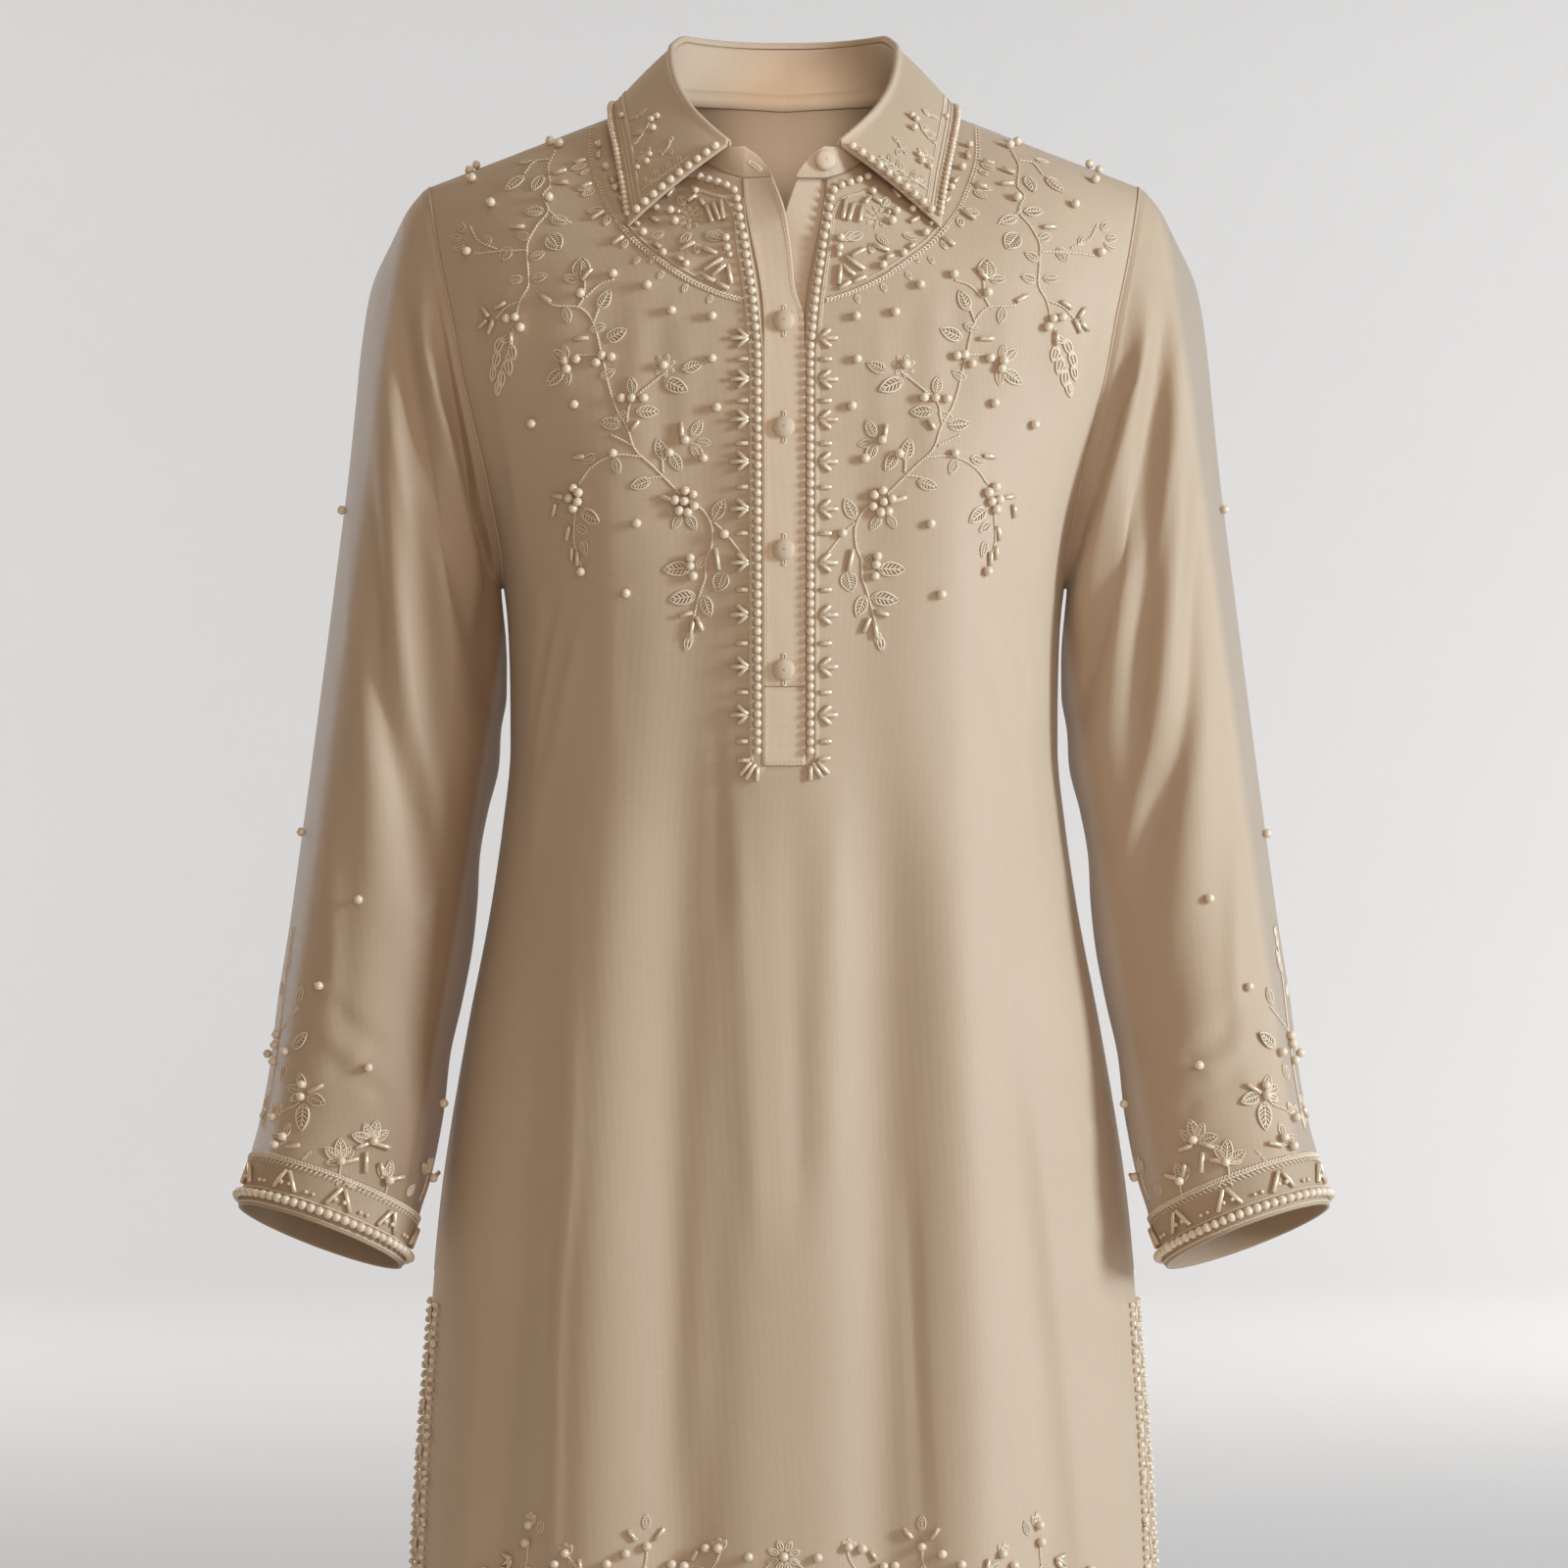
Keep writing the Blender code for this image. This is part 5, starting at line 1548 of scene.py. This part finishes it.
bib = {
    "bugle": (
        (-44.2, -77, -69, 13.4), (-40.2, -75.4, -69, 14), (-35.8, -73.6, -77, 15), (-48, -73, -60, 6.5),
        (-54.4, -74.8, 45, 6.5), (-59.1, -101.9, 25, 9.8), (-46.5, -100.4, -27, 9.8), (-45.7, -113, 31, 13),
        (-40.5, -116, 39, 9.6), (-31.9, -110, -79, 11.8), (-46.8, -116, -27, 8.6),
        (-38.6, -120.2, -27, 8.4), (-73.8, -98.2, -42, 5.6), (-61.6, -105.6, -30, 5.4),
        (-104.3, -46.5, -92, 6), (-98.6, -61, -68, 5.5), (-93.4, -72, -58, 5.5), (-85.6, -85.5, -48, 5.5),
        (-101.7, -80.2, 219, 9.5), (-90.8, -94.4, 219, 8), (-109, -64.6, 205, 7), (-112.4, -51.4, 196, 7),
        (-71, -86, 140, 6.5), (-77, -79, 100, 6), (-66, -72, 70, 7), (-84, -70, 120, 6),
        (-19.4, -391.5, 180, 7), (-18.4, -392.4, 228, 10), (-16.2, -393.4, 238, 10.5),
        (-15, -395, 268, 8.5),
    ),
    "leaf": (
        (-44.6, -92, -38, 9), (-40.5, -91, -42, 8), (-57, -77, 110, 8), (-112, -53, 215, 9),
        (-108.4, -66, 188, 9), (-107.6, -67, 228, 8), (-102, -79, 184, 9), (-53, -92, 235, 8),
        (-68, -92, 200, 8), (-74, -70, 160, 8),
    ),
    "petal": (
        (-49.4, -98, 278, 6), (-99.4, -82, 262, 7), (-89, -95.6, 258, 6), (-82, -105.4, 244, 5),
        (-76, -109.4, 60, 4), (-68.5, -113.4, 240, 5), (-55, -120.8, 245, 5), (-41, -127, 250, 5),
        (-110.6, -56, 232, 6),
    ),
    "pearl": (
        (-49.8, -68.9, 4.2), (-64, -80.2, 5.2), (-61.4, -86.2, 5.4), (-59.6, -80.4, 2.6),
        (-32.7, -95.3, 4.8), (-32.3, -100.4, 4.8), (-30.8, -104.4, 3.4), (-68.2, -103.6, 4.6),
        (-55.4, -109.6, 4.8), (-105, -43, 4.2), (-101, -55.4, 4.8), (-95.8, -67.2, 4.2), (-89, -79.6, 4.6),
        (-79.6, -92.4, 4.8), (-81, -76, 4.6), (-72, -78.6, 4.2), (-90, -62, 4.6),
    ),
}
for half in (-1, 1):
    flip = np.array([-half, 1])
    line = spaced(np.array(trim["pearlLine"]) * flip, trim["pearlPitch"])
    pearls("placket_trim", (*frontFace.under(line[:, 0], line[:, 1]), rightward), sizes["rowPearl"])
    for key, rows, wide in trim["cords"]:
        stem("placket_trim", frontFace, np.array(trim[key]) * flip, rows, wide, 1.9 * wide)
    away = 180 if half < 0 else 0
    x = trim["fanX"] * -half
    marks = [(x + half * out, z, away + lean, length)
             for key, bugleSet in (("fans", trim["fan"]), ("bars", trim["bar"]))
             for z in trim[key] for lean, length, out in bugleSet]
    laid("placket_trim", frontFace, "bugle", marks)
bothSides("placket_trim", bib, growth=1.15)
print("placket trimmed")

# ---- sleeves

sleeveVine = {
    "stem": (
        ((-285, -489), (-288.9, -520.5), (-291.9, -550.2), (-294.9, -573.9), (-299.8, -603.7)),
        ((-280.6, -534.7), (-285, -540), (-289.9, -547)),
        ((-276.4, -585), (-281, -590), (-286, -592), (-292, -596)),
        ((-253.9, -622), (-255, -630), (-256, -634)),
        ((-227.9, -633), (-229, -640), (-230, -643)),
        ((-206.7, -632), (-209, -640), (-211, -645)),
    ),
    "leaf": (
        (-276, -588.5, 273, 15), (-274, -584.5, -22, 12), (-281, -531.5, 70, 9.5), (-283.5, -557.6, 25, 13),
        (-286.9, -567, 250, 9), (-286, -611, 150, 10), (-300.8, -603, 110, 9), (-296.8, -585, 200, 8),
        (-217.6, -642.3, 30, 8), (-289, -515, 40, 8), (-292, -528, 130, 8), (-245, -636, 150, 8),
        (-276.6, -582, 110, 10.5), (-277, -582, 160, 9.5), (-253.9, -621, 140, 11), (-253.9, -621, 92, 12),
        (-253.5, -621, 50, 10), (-236, -609.5, 76, 11), (-236.5, -609.5, 116, 10),
        (-235.5, -609.5, 30, 9.5), (-237, -609.5, 165, 11), (-227.9, -631.8, 76, 10),
        (-228.5, -631.8, 130, 9), (-206.7, -630.4, 100, 9), (-206, -630.4, 50, 9), (-207.5, -630.4, 155, 9),
    ),
    "petal": (
        (-254, -621, 188, 8), (-292.9, -597, 120, 8), (-292.5, -597, 60, 8), (-286.4, -608, 80, 8),
        (-277, -583, 205, 8), (-285.6, -494, 60, 6), (-286, -500, 125, 6), (-287, -508, 60, 6),
        (-273.5, -618, 45, 3.4), (-273.5, -618, 225, 3.4),
    ),
    "bugle": (
        (-273.1, -582.6, 22, 10.5), (-253, -622, 14, 9.5), (-238, -611, 198, 9), (-234.5, -611.5, -15, 9),
        (-240, -616, 268, 12), (-226, -632, 5, 8.5), (-230.5, -630, 108, 8), (-285.5, -613.8, 0, 9.5),
        (-298, -592, 215, 7), (-204, -633, -8, 7),
    ),
    "pearl": (
        (-276.4, -578.3), (-276.8, -585.2), (-291.9, -550.2), (-292.9, -556.4), (-286.3, -559.7),
        (-293.5, -566), (-297.6, -562), (-286.9, -608.3), (-291.4, -613), (-253.9, -621.4), (-236, -610),
        (-227.9, -632.4), (-205.7, -632.8), (-293, -597.6), (-266.6, -521.7), (-239, -567.9),
        (-199.7, -590), (-255.8, -245.4), (-279, -433.3), (-244.5, -471.8),
    ),
}
bothSides("sleeve_right", sleeveVine, "sleeve_left", sleeveFaces[-1], sleeveFaces[1], growth=1.1)

# bands: braid, a fine zigzag, points of bugles over small pearls, a pearl row and a double cord at the end
band = {
    # shares down the band
    "braid": 0.05,
    "zigzag": 0.14,
    "zigzagHalf": 0.05,
    "pointTop": 0.20,
    "pointFoot": 0.60,
    "innerPearl": 0.47,
    "cord": 0.66,
    "pearls": 0.78,
    "endCord": 0.93,
    "pointPitch": 32.0,
    "pointHalf": 6.6,
    "pearlPitch": 5.0,
    "zigzagPitch": 3.0,
    # small pearls inside and between the points: size, where they start, share of the reach, share lower
    "smallPearls": ((2.9, 0.0, 0.36, 0.0), (2.4, 0.5, 0.3, 0.05)),
}


def ringLine(group, face, v, rows=1, wide=1.0, step=1.9):
    u = aroundRing(face, v, step)
    place, normal = face.at(np.append(u, u[0]), v)
    cordOn(group, place, normal, rows, wide)


def workBand(group, face):
    ringLine(group, face, band["braid"], rows=2, wide=1.1, step=2.1)
    ringLine(group, face, band["cord"], wide=0.8, step=1.6)
    ringLine(group, face, band["endCord"], wide=0.8, step=1.6)
    u = aroundRing(face, band["pearls"], band["pearlPitch"])
    pearls(group, face.spots(u, band["pearls"], 0))
    u = aroundRing(face, band["pointTop"], band["pointPitch"])
    reach = band["pointHalf"] / (band["pointPitch"] * len(u))
    high = face.at(u, band["pointTop"])
    for way in (-1, 1):
        low = face.at(u + way * reach, band["pointFoot"])
        along = high[0] - low[0]
        bugles(group, (low[0], low[1], along), np.linalg.norm(along, axis=1) * 0.92)
        for size, start, share, lower in band["smallPearls"]:
            shares = u + start / len(u) + way * reach * share
            pearls(group, face.spots(shares, band["innerPearl"] + lower, 0), size)
    fine = aroundRing(face, band["zigzag"], band["zigzagPitch"])
    place, normal = face.at(fine, band["zigzag"] - band["zigzagHalf"])
    lower = face.at(np.roll(fine, -1), band["zigzag"] + band["zigzagHalf"])[0]
    addShapes(group, "stitch", (place, normal, lower - place), 4.0, 0.55, look="thread", lift=0.4)


for side, name in ((1, "left"), (-1, "right")):
    workBand(f"cuff_{name}", cuffFaces[side])
print("sleeves worked")

# ---- collar: a pearl row along the points and the outer edge, a cord inside it and a sprig at each point

fallWork = {
    # pearl rows: distance from the edge, size, pitch; cords: distances from the edge
    "edgePearls": (2.6, 3.7, 3.9),
    "frontPearls": (3.7, 5.0, 6.5),
    "edgeCords": (6.6, 9.0, 12.4),
    "frontCord": 8.4,
}
columnLength = np.linalg.norm(np.diff(leafGrid, axis=0), axis=2).sum(axis=0)
columnAt = np.linspace(0, 1, len(columnLength))
edgeRun = lengthsAlong(leafGrid[-1])


def insetV(u, inset):
    return 1 - inset / np.interp(u, columnAt, columnLength)


def edgeShare(inset, half):
    # the share across at this distance from a point's front edge
    share = np.interp(inset, edgeRun, columnAt)
    return share if half < 0 else 1 - share


def outerLine(inset, frontInset):
    us = np.linspace(edgeShare(frontInset, -1), edgeShare(frontInset, 1), 500)
    return us, insetV(us, inset)


def frontLine(inset, half, lowInset):
    start = edgeShare(inset, half)
    return np.full(160, start), np.linspace(0.03, float(insetV(start, lowInset)), 160)


inset, size, pitch = fallWork["edgePearls"]
u, v = alongFace(fallFace, *outerLine(inset, fallWork["frontPearls"][0] + 2), pitch)
pearls("collar", fallFace.spots(u, v, 0), size)
for inset in fallWork["edgeCords"]:
    u, v = alongFace(fallFace, *outerLine(inset, fallWork["frontCord"]), 1.6)
    cordOn("collar", *fallFace.at(u, v), rows=2 if inset > 12 else 1, wide=0.7)
for half in (-1, 1):
    inset, size, pitch = fallWork["frontPearls"]
    u, v = alongFace(fallFace, *frontLine(inset, half, inset), pitch, 0.4)
    pearls("collar", fallFace.spots(u, v, 0), size)
    u, v = alongFace(fallFace, *frontLine(fallWork["frontCord"], half, fallWork["edgeCords"][0]), 1.5)
    cordOn("collar", *fallFace.at(u, v), wide=0.6)

# sprigs on the viewer's left point
fallSprig = {
    "stem": (
        ((-81, -63), (-76.5, -60), (-70, -55.6), (-63.5, -51), (-55.5, -45)),
        ((-65.6, -34.6), (-67, -38.5), (-70, -42)),
        ((-78.4, -22.4), (-80.6, -27), (-83.4, -31)),
        ((-83.6, -49), (-80, -44), (-77.5, -38.5)),
    ),
    "leaf": (
        (-80, -62, 100, 7), (-77.5, -60.5, 20, 7), (-74.5, -58.6, 95, 7.5), (-71.5, -56.4, 10, 7),
        (-68, -54, 90, 7.5), (-65.5, -52.4, 12, 7), (-62, -50, 88, 7), (-59.5, -48, 8, 6.5),
        (-80.5, -26.6, 175, 7), (-80.8, -27.4, 130, 7), (-84, -16.6, 120, 6), (-84, -16.6, 170, 6),
        (-84, -16.6, 75, 6), (-67, -38.5, 200, 5.5), (-67, -38.5, 300, 5.5),
    ),
    "petal": (
        (-81, -43, 60, 4.6), (-81, -43, 120, 4.6), (-81, -43, 180, 4.6), (-81, -43, 240, 4.6),
        (-81, -43, 0, 4.6), (-66.6, -35, 70, 4.4), (-84, -31, 250, 5), (-76, -58, 150, 5),
    ),
    "pearl": (
        (-76.4, -20.4, 3.9), (-73, -18.6, 3.9), (-75.2, -26, 4.2), (-84, -49.8, 3.5), (-78.6, -46.6, 4.1),
        (-77, -42.2, 3.6), (-94, -16, 3.4),
    ),
}
bothSides("collar", fallSprig, face=fallFace, growth=1.15)
print("collar worked")

# ---- hem and side slits

hem = {
    "half": 206.0,
    "pearlZ": -886.0,
    "pearlPitch": 5.4,
    "cordZ": (-880.5, -892.0),
    "stitchZ": -899.0,
    "stitchPitch": 2.7,
}
trimGroups = {front: "hem_trim", back: "back_trim"}
panelFaces = {front: Face(frontPoints, np.array([0, -1, 0])), back: Face(backPoints, np.array([0, 1, 0]))}
hemBorder = {
    "stem": (
        ((-145, -838), (-146, -848), (-150, -858), (-160, -864), (-172, -862)),
        ((-78, -838), (-79, -848), (-84, -858), (-94, -863), (-106, -858), (-116, -850), (-122, -843)),
        ((-145, -850), (-134, -858), (-122, -861), (-108, -858)),
        ((-79, -850), (-68, -858), (-56, -861), (-46, -856), (-38, -846), (-36, -840)),
        ((-46, -856), (-34, -862), (-22, -860), (-12, -852), (-6, -846)),
    ),
    "leaf": (
        (-138.3, -831.3, 70, 9), (-78.4, -828.5, 90, 9), (-150, -858, 240, 10), (-163, -864, 130, 9),
        (-134, -858, 60, 9), (-120, -861, 300, 10), (-96, -863, 250, 10), (-104, -859, 60, 9),
        (-66, -859, 290, 10), (-58, -861, 70, 9), (-44, -854, 150, 8), (-30, -862, 290, 10),
        (-20, -859, 60, 9), (-88, -860, 120, 9), (-170, -862, 210, 9), (-116, -851, 140, 8),
    ),
    "petal": (
        (-143.3, -826, 90, 8), (-143.3, -826, 55, 7), (-143.3, -826, 125, 7), (-36, -840, 60, 7),
        (-36, -840, 100, 7), (-36, -840, 140, 7), (-122, -843, 60, 7), (-122, -843, 100, 7),
        (-122, -843, 140, 7),
    ),
    "bugle": (
        (-155.3, -845.4, 200, 8), (-155.3, -845.4, 235, 8), (-155.3, -845.4, 165, 8),
        (-114.8, -845, 280, 8), (-84, -834.8, 130, 8), (-73.4, -834, 50, 8), (-64, -868, 250, 8),
        (-108, -868, 285, 8), (-140, -868, 260, 8), (-30, -868, 275, 8), (-52, -846, 60, 7),
    ),
    "pearl": (
        (-145, -836), (-122, -841.9), (-64.2, -848), (-56.5, -849), (-43.8, -839), (-36.7, -839),
        (-19.8, -844), (-78.4, -838), (-100, -848), (-90, -842), (-128, -848), (-160, -852), (-172, -852),
        (-143.3, -826),
    ),
}
bothSides("hem_trim", hemBorder)
ringOfStitches("hem_trim", frontFace, 0, -844, 3.0, 8, 7.0)
laid("hem_trim", frontFace, "pearl", [(0, -844), (0, -862), (-9, -868), (9, -868)])


def slitPlaces(side, half, arcs, heights):
    # places at these distances from a panel's side edge, measured over the cloth
    face = panelFaces[side]
    grid = face.points if half > 0 else face.points[:, ::-1]
    normals = face.normals if half > 0 else face.normals[:, ::-1]
    places, outs = [], []
    for arc, z in zip(arcs, heights):
        row = int(np.argmin(abs(grid[:, -1, 2] - z) + 1e3 * (grid[:, -1, 2] > body["underarmZ"])))
        below = row if grid[row, -1, 2] <= z or row == 0 else row - 1
        share = np.clip((z - grid[below, -1, 2]) / (grid[below + 1, -1, 2] - grid[below, -1, 2]), 0, 1)
        line = mixed(grid[below], grid[below + 1], share)[::-1]
        out = mixed(normals[below], normals[below + 1], share)[::-1]
        at = lengthsAlong(line)
        places.append(readAt(arc, at, line))
        outs.append(readAt(arc, at, out))
    return np.array(places), unit(np.array(outs))


slit = {
    "top": -706.0,
    "low": -897.0,
    "edge": 4.5,
    "inner": 33.0,
    "cord": 9.0,
    "pearlPitch": 5.4,
    "sprigPitch": 27.0,
    "stemPitch": 1.9,
    "waveHalf": 5.0,
    # each seventh step of the stem carries a leaf, a bugle and a pearl, which lean out to either side
    "motifStep": 7,
    "lean": 0.9,
    "pearlLean": 1.2,
    "pearlOut": 11.0,
    "bugleOut": 1.5,
    "leafLength": 8.5,
    "bugleLength": 7.0,
    "pearl": 3.0,
}
for side, group in trimGroups.items():
    for half in (-1, 1):
        heights = np.arange(slit["low"], slit["top"], slit["pearlPitch"])
        for arc in (slit["edge"], slit["inner"]):
            place, out = slitPlaces(side, half, np.full(len(heights), arc), heights)
            pearls(group, (place, out, rightward), sizes["smallPearl"])
        heights = np.arange(slit["low"], slit["top"], slit["stemPitch"])
        place, out = slitPlaces(side, half, np.full(len(heights), slit["cord"]), heights)
        cordOn(group, place, out, rows=2, wide=0.75)
        wave = np.sin((heights - slit["low"]) / slit["sprigPitch"] * 2 * math.pi) * slit["waveHalf"]
        place, out = slitPlaces(side, half, mixed(slit["cord"], slit["inner"], 0.5) + wave, heights)
        cordOn(group, place, out, wide=0.85)
        pick = np.arange(3, len(heights) - 3, slit["motifStep"])
        place, out, along = place[pick], out[pick], alongOf(place)[pick]
        lean = np.where(np.arange(len(pick)) % 2, slit["lean"], -slit["lean"])[:, None]
        across = np.cross(out, along) * lean
        addShapes(group, "leaf", (place, out, along + across), slit["leafLength"], look="thread", lift=0.1)
        start = place + unit(along - across) * slit["bugleOut"]
        bugles(group, (start, out, along - across), slit["bugleLength"])
        towards = along + across * slit["pearlLean"]
        pearls(group, (place + unit(towards) * slit["pearlOut"], out, towards), slit["pearl"])


def hemLine(side, z, step):
    # places at even steps along the hem, with the directions out of the cloth
    line = onBody(side, np.linspace(-hem["half"], hem["half"], 600), z)
    at = lengthsAlong(line)
    place = readAt(np.arange(step / 2, at[-1], step), at, line)
    face = panelFaces[side]
    flat = face.points.reshape(-1, 3)
    low = flat[:, 2] < body["hemZ"] + 40
    best = np.argmin(((place[:, None] - flat[low][None]) ** 2).sum(-1), axis=1)
    return place, face.normals.reshape(-1, 3)[low][best]


for side, group in trimGroups.items():
    place, out = hemLine(side, hem["pearlZ"], hem["pearlPitch"])
    pearls(group, (place, out, rightward), sizes["smallPearl"])
    for z in hem["cordZ"]:
        cordOn(group, *hemLine(side, z, 1.9), rows=2, wide=0.75)


seams = {
    "armholeRadius": 0.75,
    "seamRadius": 0.6,
    # stitch: length, radius, lift
    "sewn": (1.9, 0.24, 0.05),
    "bar": (1.25, 0.3, 0.15),
    "endBar": (2.8, 0.5, 0.2),
    "buttonhole": 18.0,
    "collarButtonhole": 9.0,
    "lip": 0.75,
    "tapeDrop": 4.5,
    "tapeWall": 0.6,
}


def sewn(spots, length, radius, lift):
    addShapes("seams", "stitch", spots, length, radius, look="thread", lift=lift, centred=True)


def sewnLine(places, normals):
    sewn((places, normals, alongOf(places)), *seams["sewn"])


def sewnAcross(face, u, v, count, pitch):
    # a line of stitches between two shares across and two shares down
    us, vs = alongFace(face, np.linspace(*u, count), np.linspace(*v, count), pitch)
    sewnLine(*face.at(us, vs))


for side in (front, back):
    sewnLine(*hemLine(side, hem["stitchZ"], hem["stitchPitch"]))
for u in (0.1, 0.9):
    sewnAcross(overFace, (u, u), (0.0, 1.0), 200, 2.6)
for u in (0.08, 0.92):
    sewnAcross(boxFace, (u, u), (0.03, 0.97), 200, 2.6)
for v in (0.04, 0.5, 0.96):
    sewnAcross(boxFace, (0.08, 0.92), (v, v), 60, 2.4)
sewnAcross(standFace, (0.01, 0.99), (0.1, 0.1), 400, 2.6)


def buttonhole(middle, normal, along, length):
    # close bars worked over both lips of a cut, with a bar at each end
    across = unit(np.cross(normal, along))
    steps = np.arange(-length / 2, length / 2, 0.5)
    for lip in (-seams["lip"], seams["lip"]):
        sewn((middle + along * steps[:, None] + across * lip, normal, across), *seams["bar"])
    ends = np.array([middle - along * length / 2, middle + along * length / 2])
    sewn((ends, normal, across), *seams["endBar"])


for at, facing in buttonPlaces:
    buttonhole(at + facing * 0.5, facing, unit(np.cross(facing, rightward)), seams["buttonhole"])
place, normal, along = standFace.spots(np.array([0.055]), np.array([0.5]), 12)
buttonhole(place[0], normal[0], along[0], seams["collarButtonhole"])


def piping(name, places, radius):
    # a thin rolled edge of the cloth that lies in a seam
    along = alongOf(places)
    across = unit(np.cross(along, [0.3, 0.2, 0.93]))
    high = np.cross(along, across)
    turn = fullTurn(8)[:, None]
    grid = places[:, None] + radius * (across[:, None] * np.cos(turn) + high[:, None] * np.sin(turn))
    made = sheetOf(name, grid, lambda c: c - np.repeat(places[:-1], len(turn), axis=0), closed=True)
    carried(made, "body_cloth")


seam = armholeSeam()[0]
seam = np.concatenate([seam, seam[:1]])
for side, name in ((1, "left"), (-1, "right")):
    piping(f"armhole_{name}_seam", seam * [side, 1, 1] + [0.15 * side, 0, 0], seams["armholeRadius"])
    x = np.linspace(body["neckHalf"], body["shoulderHalf"], 40) * side
    places = np.stack([x, shoulderY(x), shoulderZ(x) - 0.5], axis=1)
    piping(f"shoulder_{name}_seam", places, seams["seamRadius"])
    z = np.linspace(body["sideSlitZ"], body["underarmZ"], 80)
    places = np.stack([halfWidth(z) * side * 0.9995, 0 * z, z], axis=1)
    piping(f"side_{name}_seam", places, seams["seamRadius"])

# the tape that covers the seam inside the back of the neck
behind = standGrid[0, :, 1] > 25
seamLine, inward = standGrid[0, behind], -standFace.normals[0, behind]
raised = mixed(seamLine, standGrid[-1, behind], 0.17)
tape = np.stack([seamLine - up * seams["tapeDrop"], seamLine, raised]) + inward * (body["wall"] + 1.1)
carried(sheetOf("neck_tape", tape, (0, -1, 0), wall=seams["tapeWall"]), "collar_cloth")

joinShapes()
print("hem, slits and seams worked")


# ---- cloth sizes, floor, light and camera

studio = {
    # metres and watts
    "floorStart": -5.0,
    "floorZ": -1.02,
    "wallY": 5.7,
    "wallTop": 4.5,
    "half": 14.0,
    "bend": 1.7,
    "grey": (0.703, 0.70, 0.70),
    "keyPower": 104.0,
    "fillPower": 28.5,
    "topPower": 4.0,
    "wallPower": 50.5,
    "backPower": 22.0,
    "floorPower": 12.0,
    "neckPower": 130.0,
    "world": 0.27,
}


def stageMaterial():
    floor = Nodes("pale studio paper", Roughness=0.9)
    floor.shader.inputs["Specular IOR Level"].default_value = 0.1
    grain = floor.noise(floor.place(), 3.0)
    darker = tuple(c * 0.985 for c in studio["grey"])
    floor.feed("Base Color", floor.colours(grain, darker, studio["grey"]))
    return floor.material


def buildStage():
    bend, floorZ, wallY = studio["bend"], studio["floorZ"], studio["wallY"]
    line = [(studio["floorStart"], floorZ), (studio["floorStart"] / 2, floorZ), (wallY - bend, floorZ)]
    for angle in np.radians(np.linspace(5, 90, 18)):
        line.append((wallY - bend + bend * math.sin(angle), floorZ + bend - bend * math.cos(angle)))
    line.append((wallY, studio["wallTop"]))
    xs = np.linspace(-studio["half"], studio["half"], 15)
    grid = np.array([[(x, y, z) for x in xs] for y, z in line]) / mm
    floor = sheetOf("studio_floor", grid, (0, -1, 1))
    floor.data.materials.append(stageMaterial())


def lightOf(name, kind, place, aim, power):
    lamp = linked(name, bpy.data.lights.new(name, kind))
    lamp.location = place
    lamp.rotation_euler = (Vector(aim) - Vector(place)).to_track_quat("-Z", "Y").to_euler()
    lamp.data.energy = power
    return lamp


def softLight(name, place, size, power, colour=(1, 1, 1), aim=(0, 0, -0.4)):
    lamp = lightOf(name, "AREA", place, aim, power)
    lamp.visible_camera = False
    lamp.data.shape, lamp.data.color = "RECTANGLE", colour
    lamp.data.size, lamp.data.size_y = size


buildStage()
softLight("key", (2.88, -1.40, 0.35), (0.5, 1.2), studio["keyPower"], (0.68, 0.87, 1.06))
softLight("fill", (0.7, -3.9, 0.25), (1.6, 2.0), studio["fillPower"], (1.0, 0.80, 0.62))
softLight("top", (0.3, -0.6, 2.0), (1.4, 1.4), studio["topPower"])
softLight("back", (-2.4, 2.2, 0.8), (1.2, 1.6), studio["backPower"], (1.0, 0.92, 0.84))
softLight("floor", (0.9, 3.0, 0.8), (2.4, 1.4), studio["floorPower"], aim=(0.8, 3.3, -1.0))
softLight("wall left", (-2.6, 3.2, 0.7), (1.4, 1.4), studio["wallPower"] * 0.8, aim=(-0.4, 5.1, -0.95))
softLight("wall right", (2.6, 3.1, 0.6), (1.4, 1.4), studio["wallPower"], aim=(0.7, 4.9, -1.05))

spot = lightOf("neck", "SPOT", (0, -2.2, 0.02), (0, 0.08, -0.008), studio["neckPower"]).data
spot.spot_size, spot.spot_blend, spot.shadow_soft_size = math.radians(2.5), 0.6, 0.02

world = bpy.data.worlds.new("studio")
world.use_nodes = True
background = world.node_tree.nodes["Background"]
background.inputs["Color"].default_value = (1.0, 0.88, 0.76, 1)
background.inputs["Strength"].default_value = studio["world"]
bpy.context.scene.world = world
bpy.context.scene.view_settings.view_transform = "Standard"

# metres; the width is what the camera sees at the middle of the garment
view = {"distance": 3.7, "height": -0.405, "width": 0.92, "sensor": 36}
eye = linked("camera", bpy.data.cameras.new("camera"))
eye.location = (0, -view["distance"], view["height"])
eye.rotation_euler = (math.radians(90), 0, 0)
eye.data.sensor_width = view["sensor"]
eye.data.lens = view["sensor"] * view["distance"] / view["width"]
bpy.context.scene.camera = eye
print("studio ready")
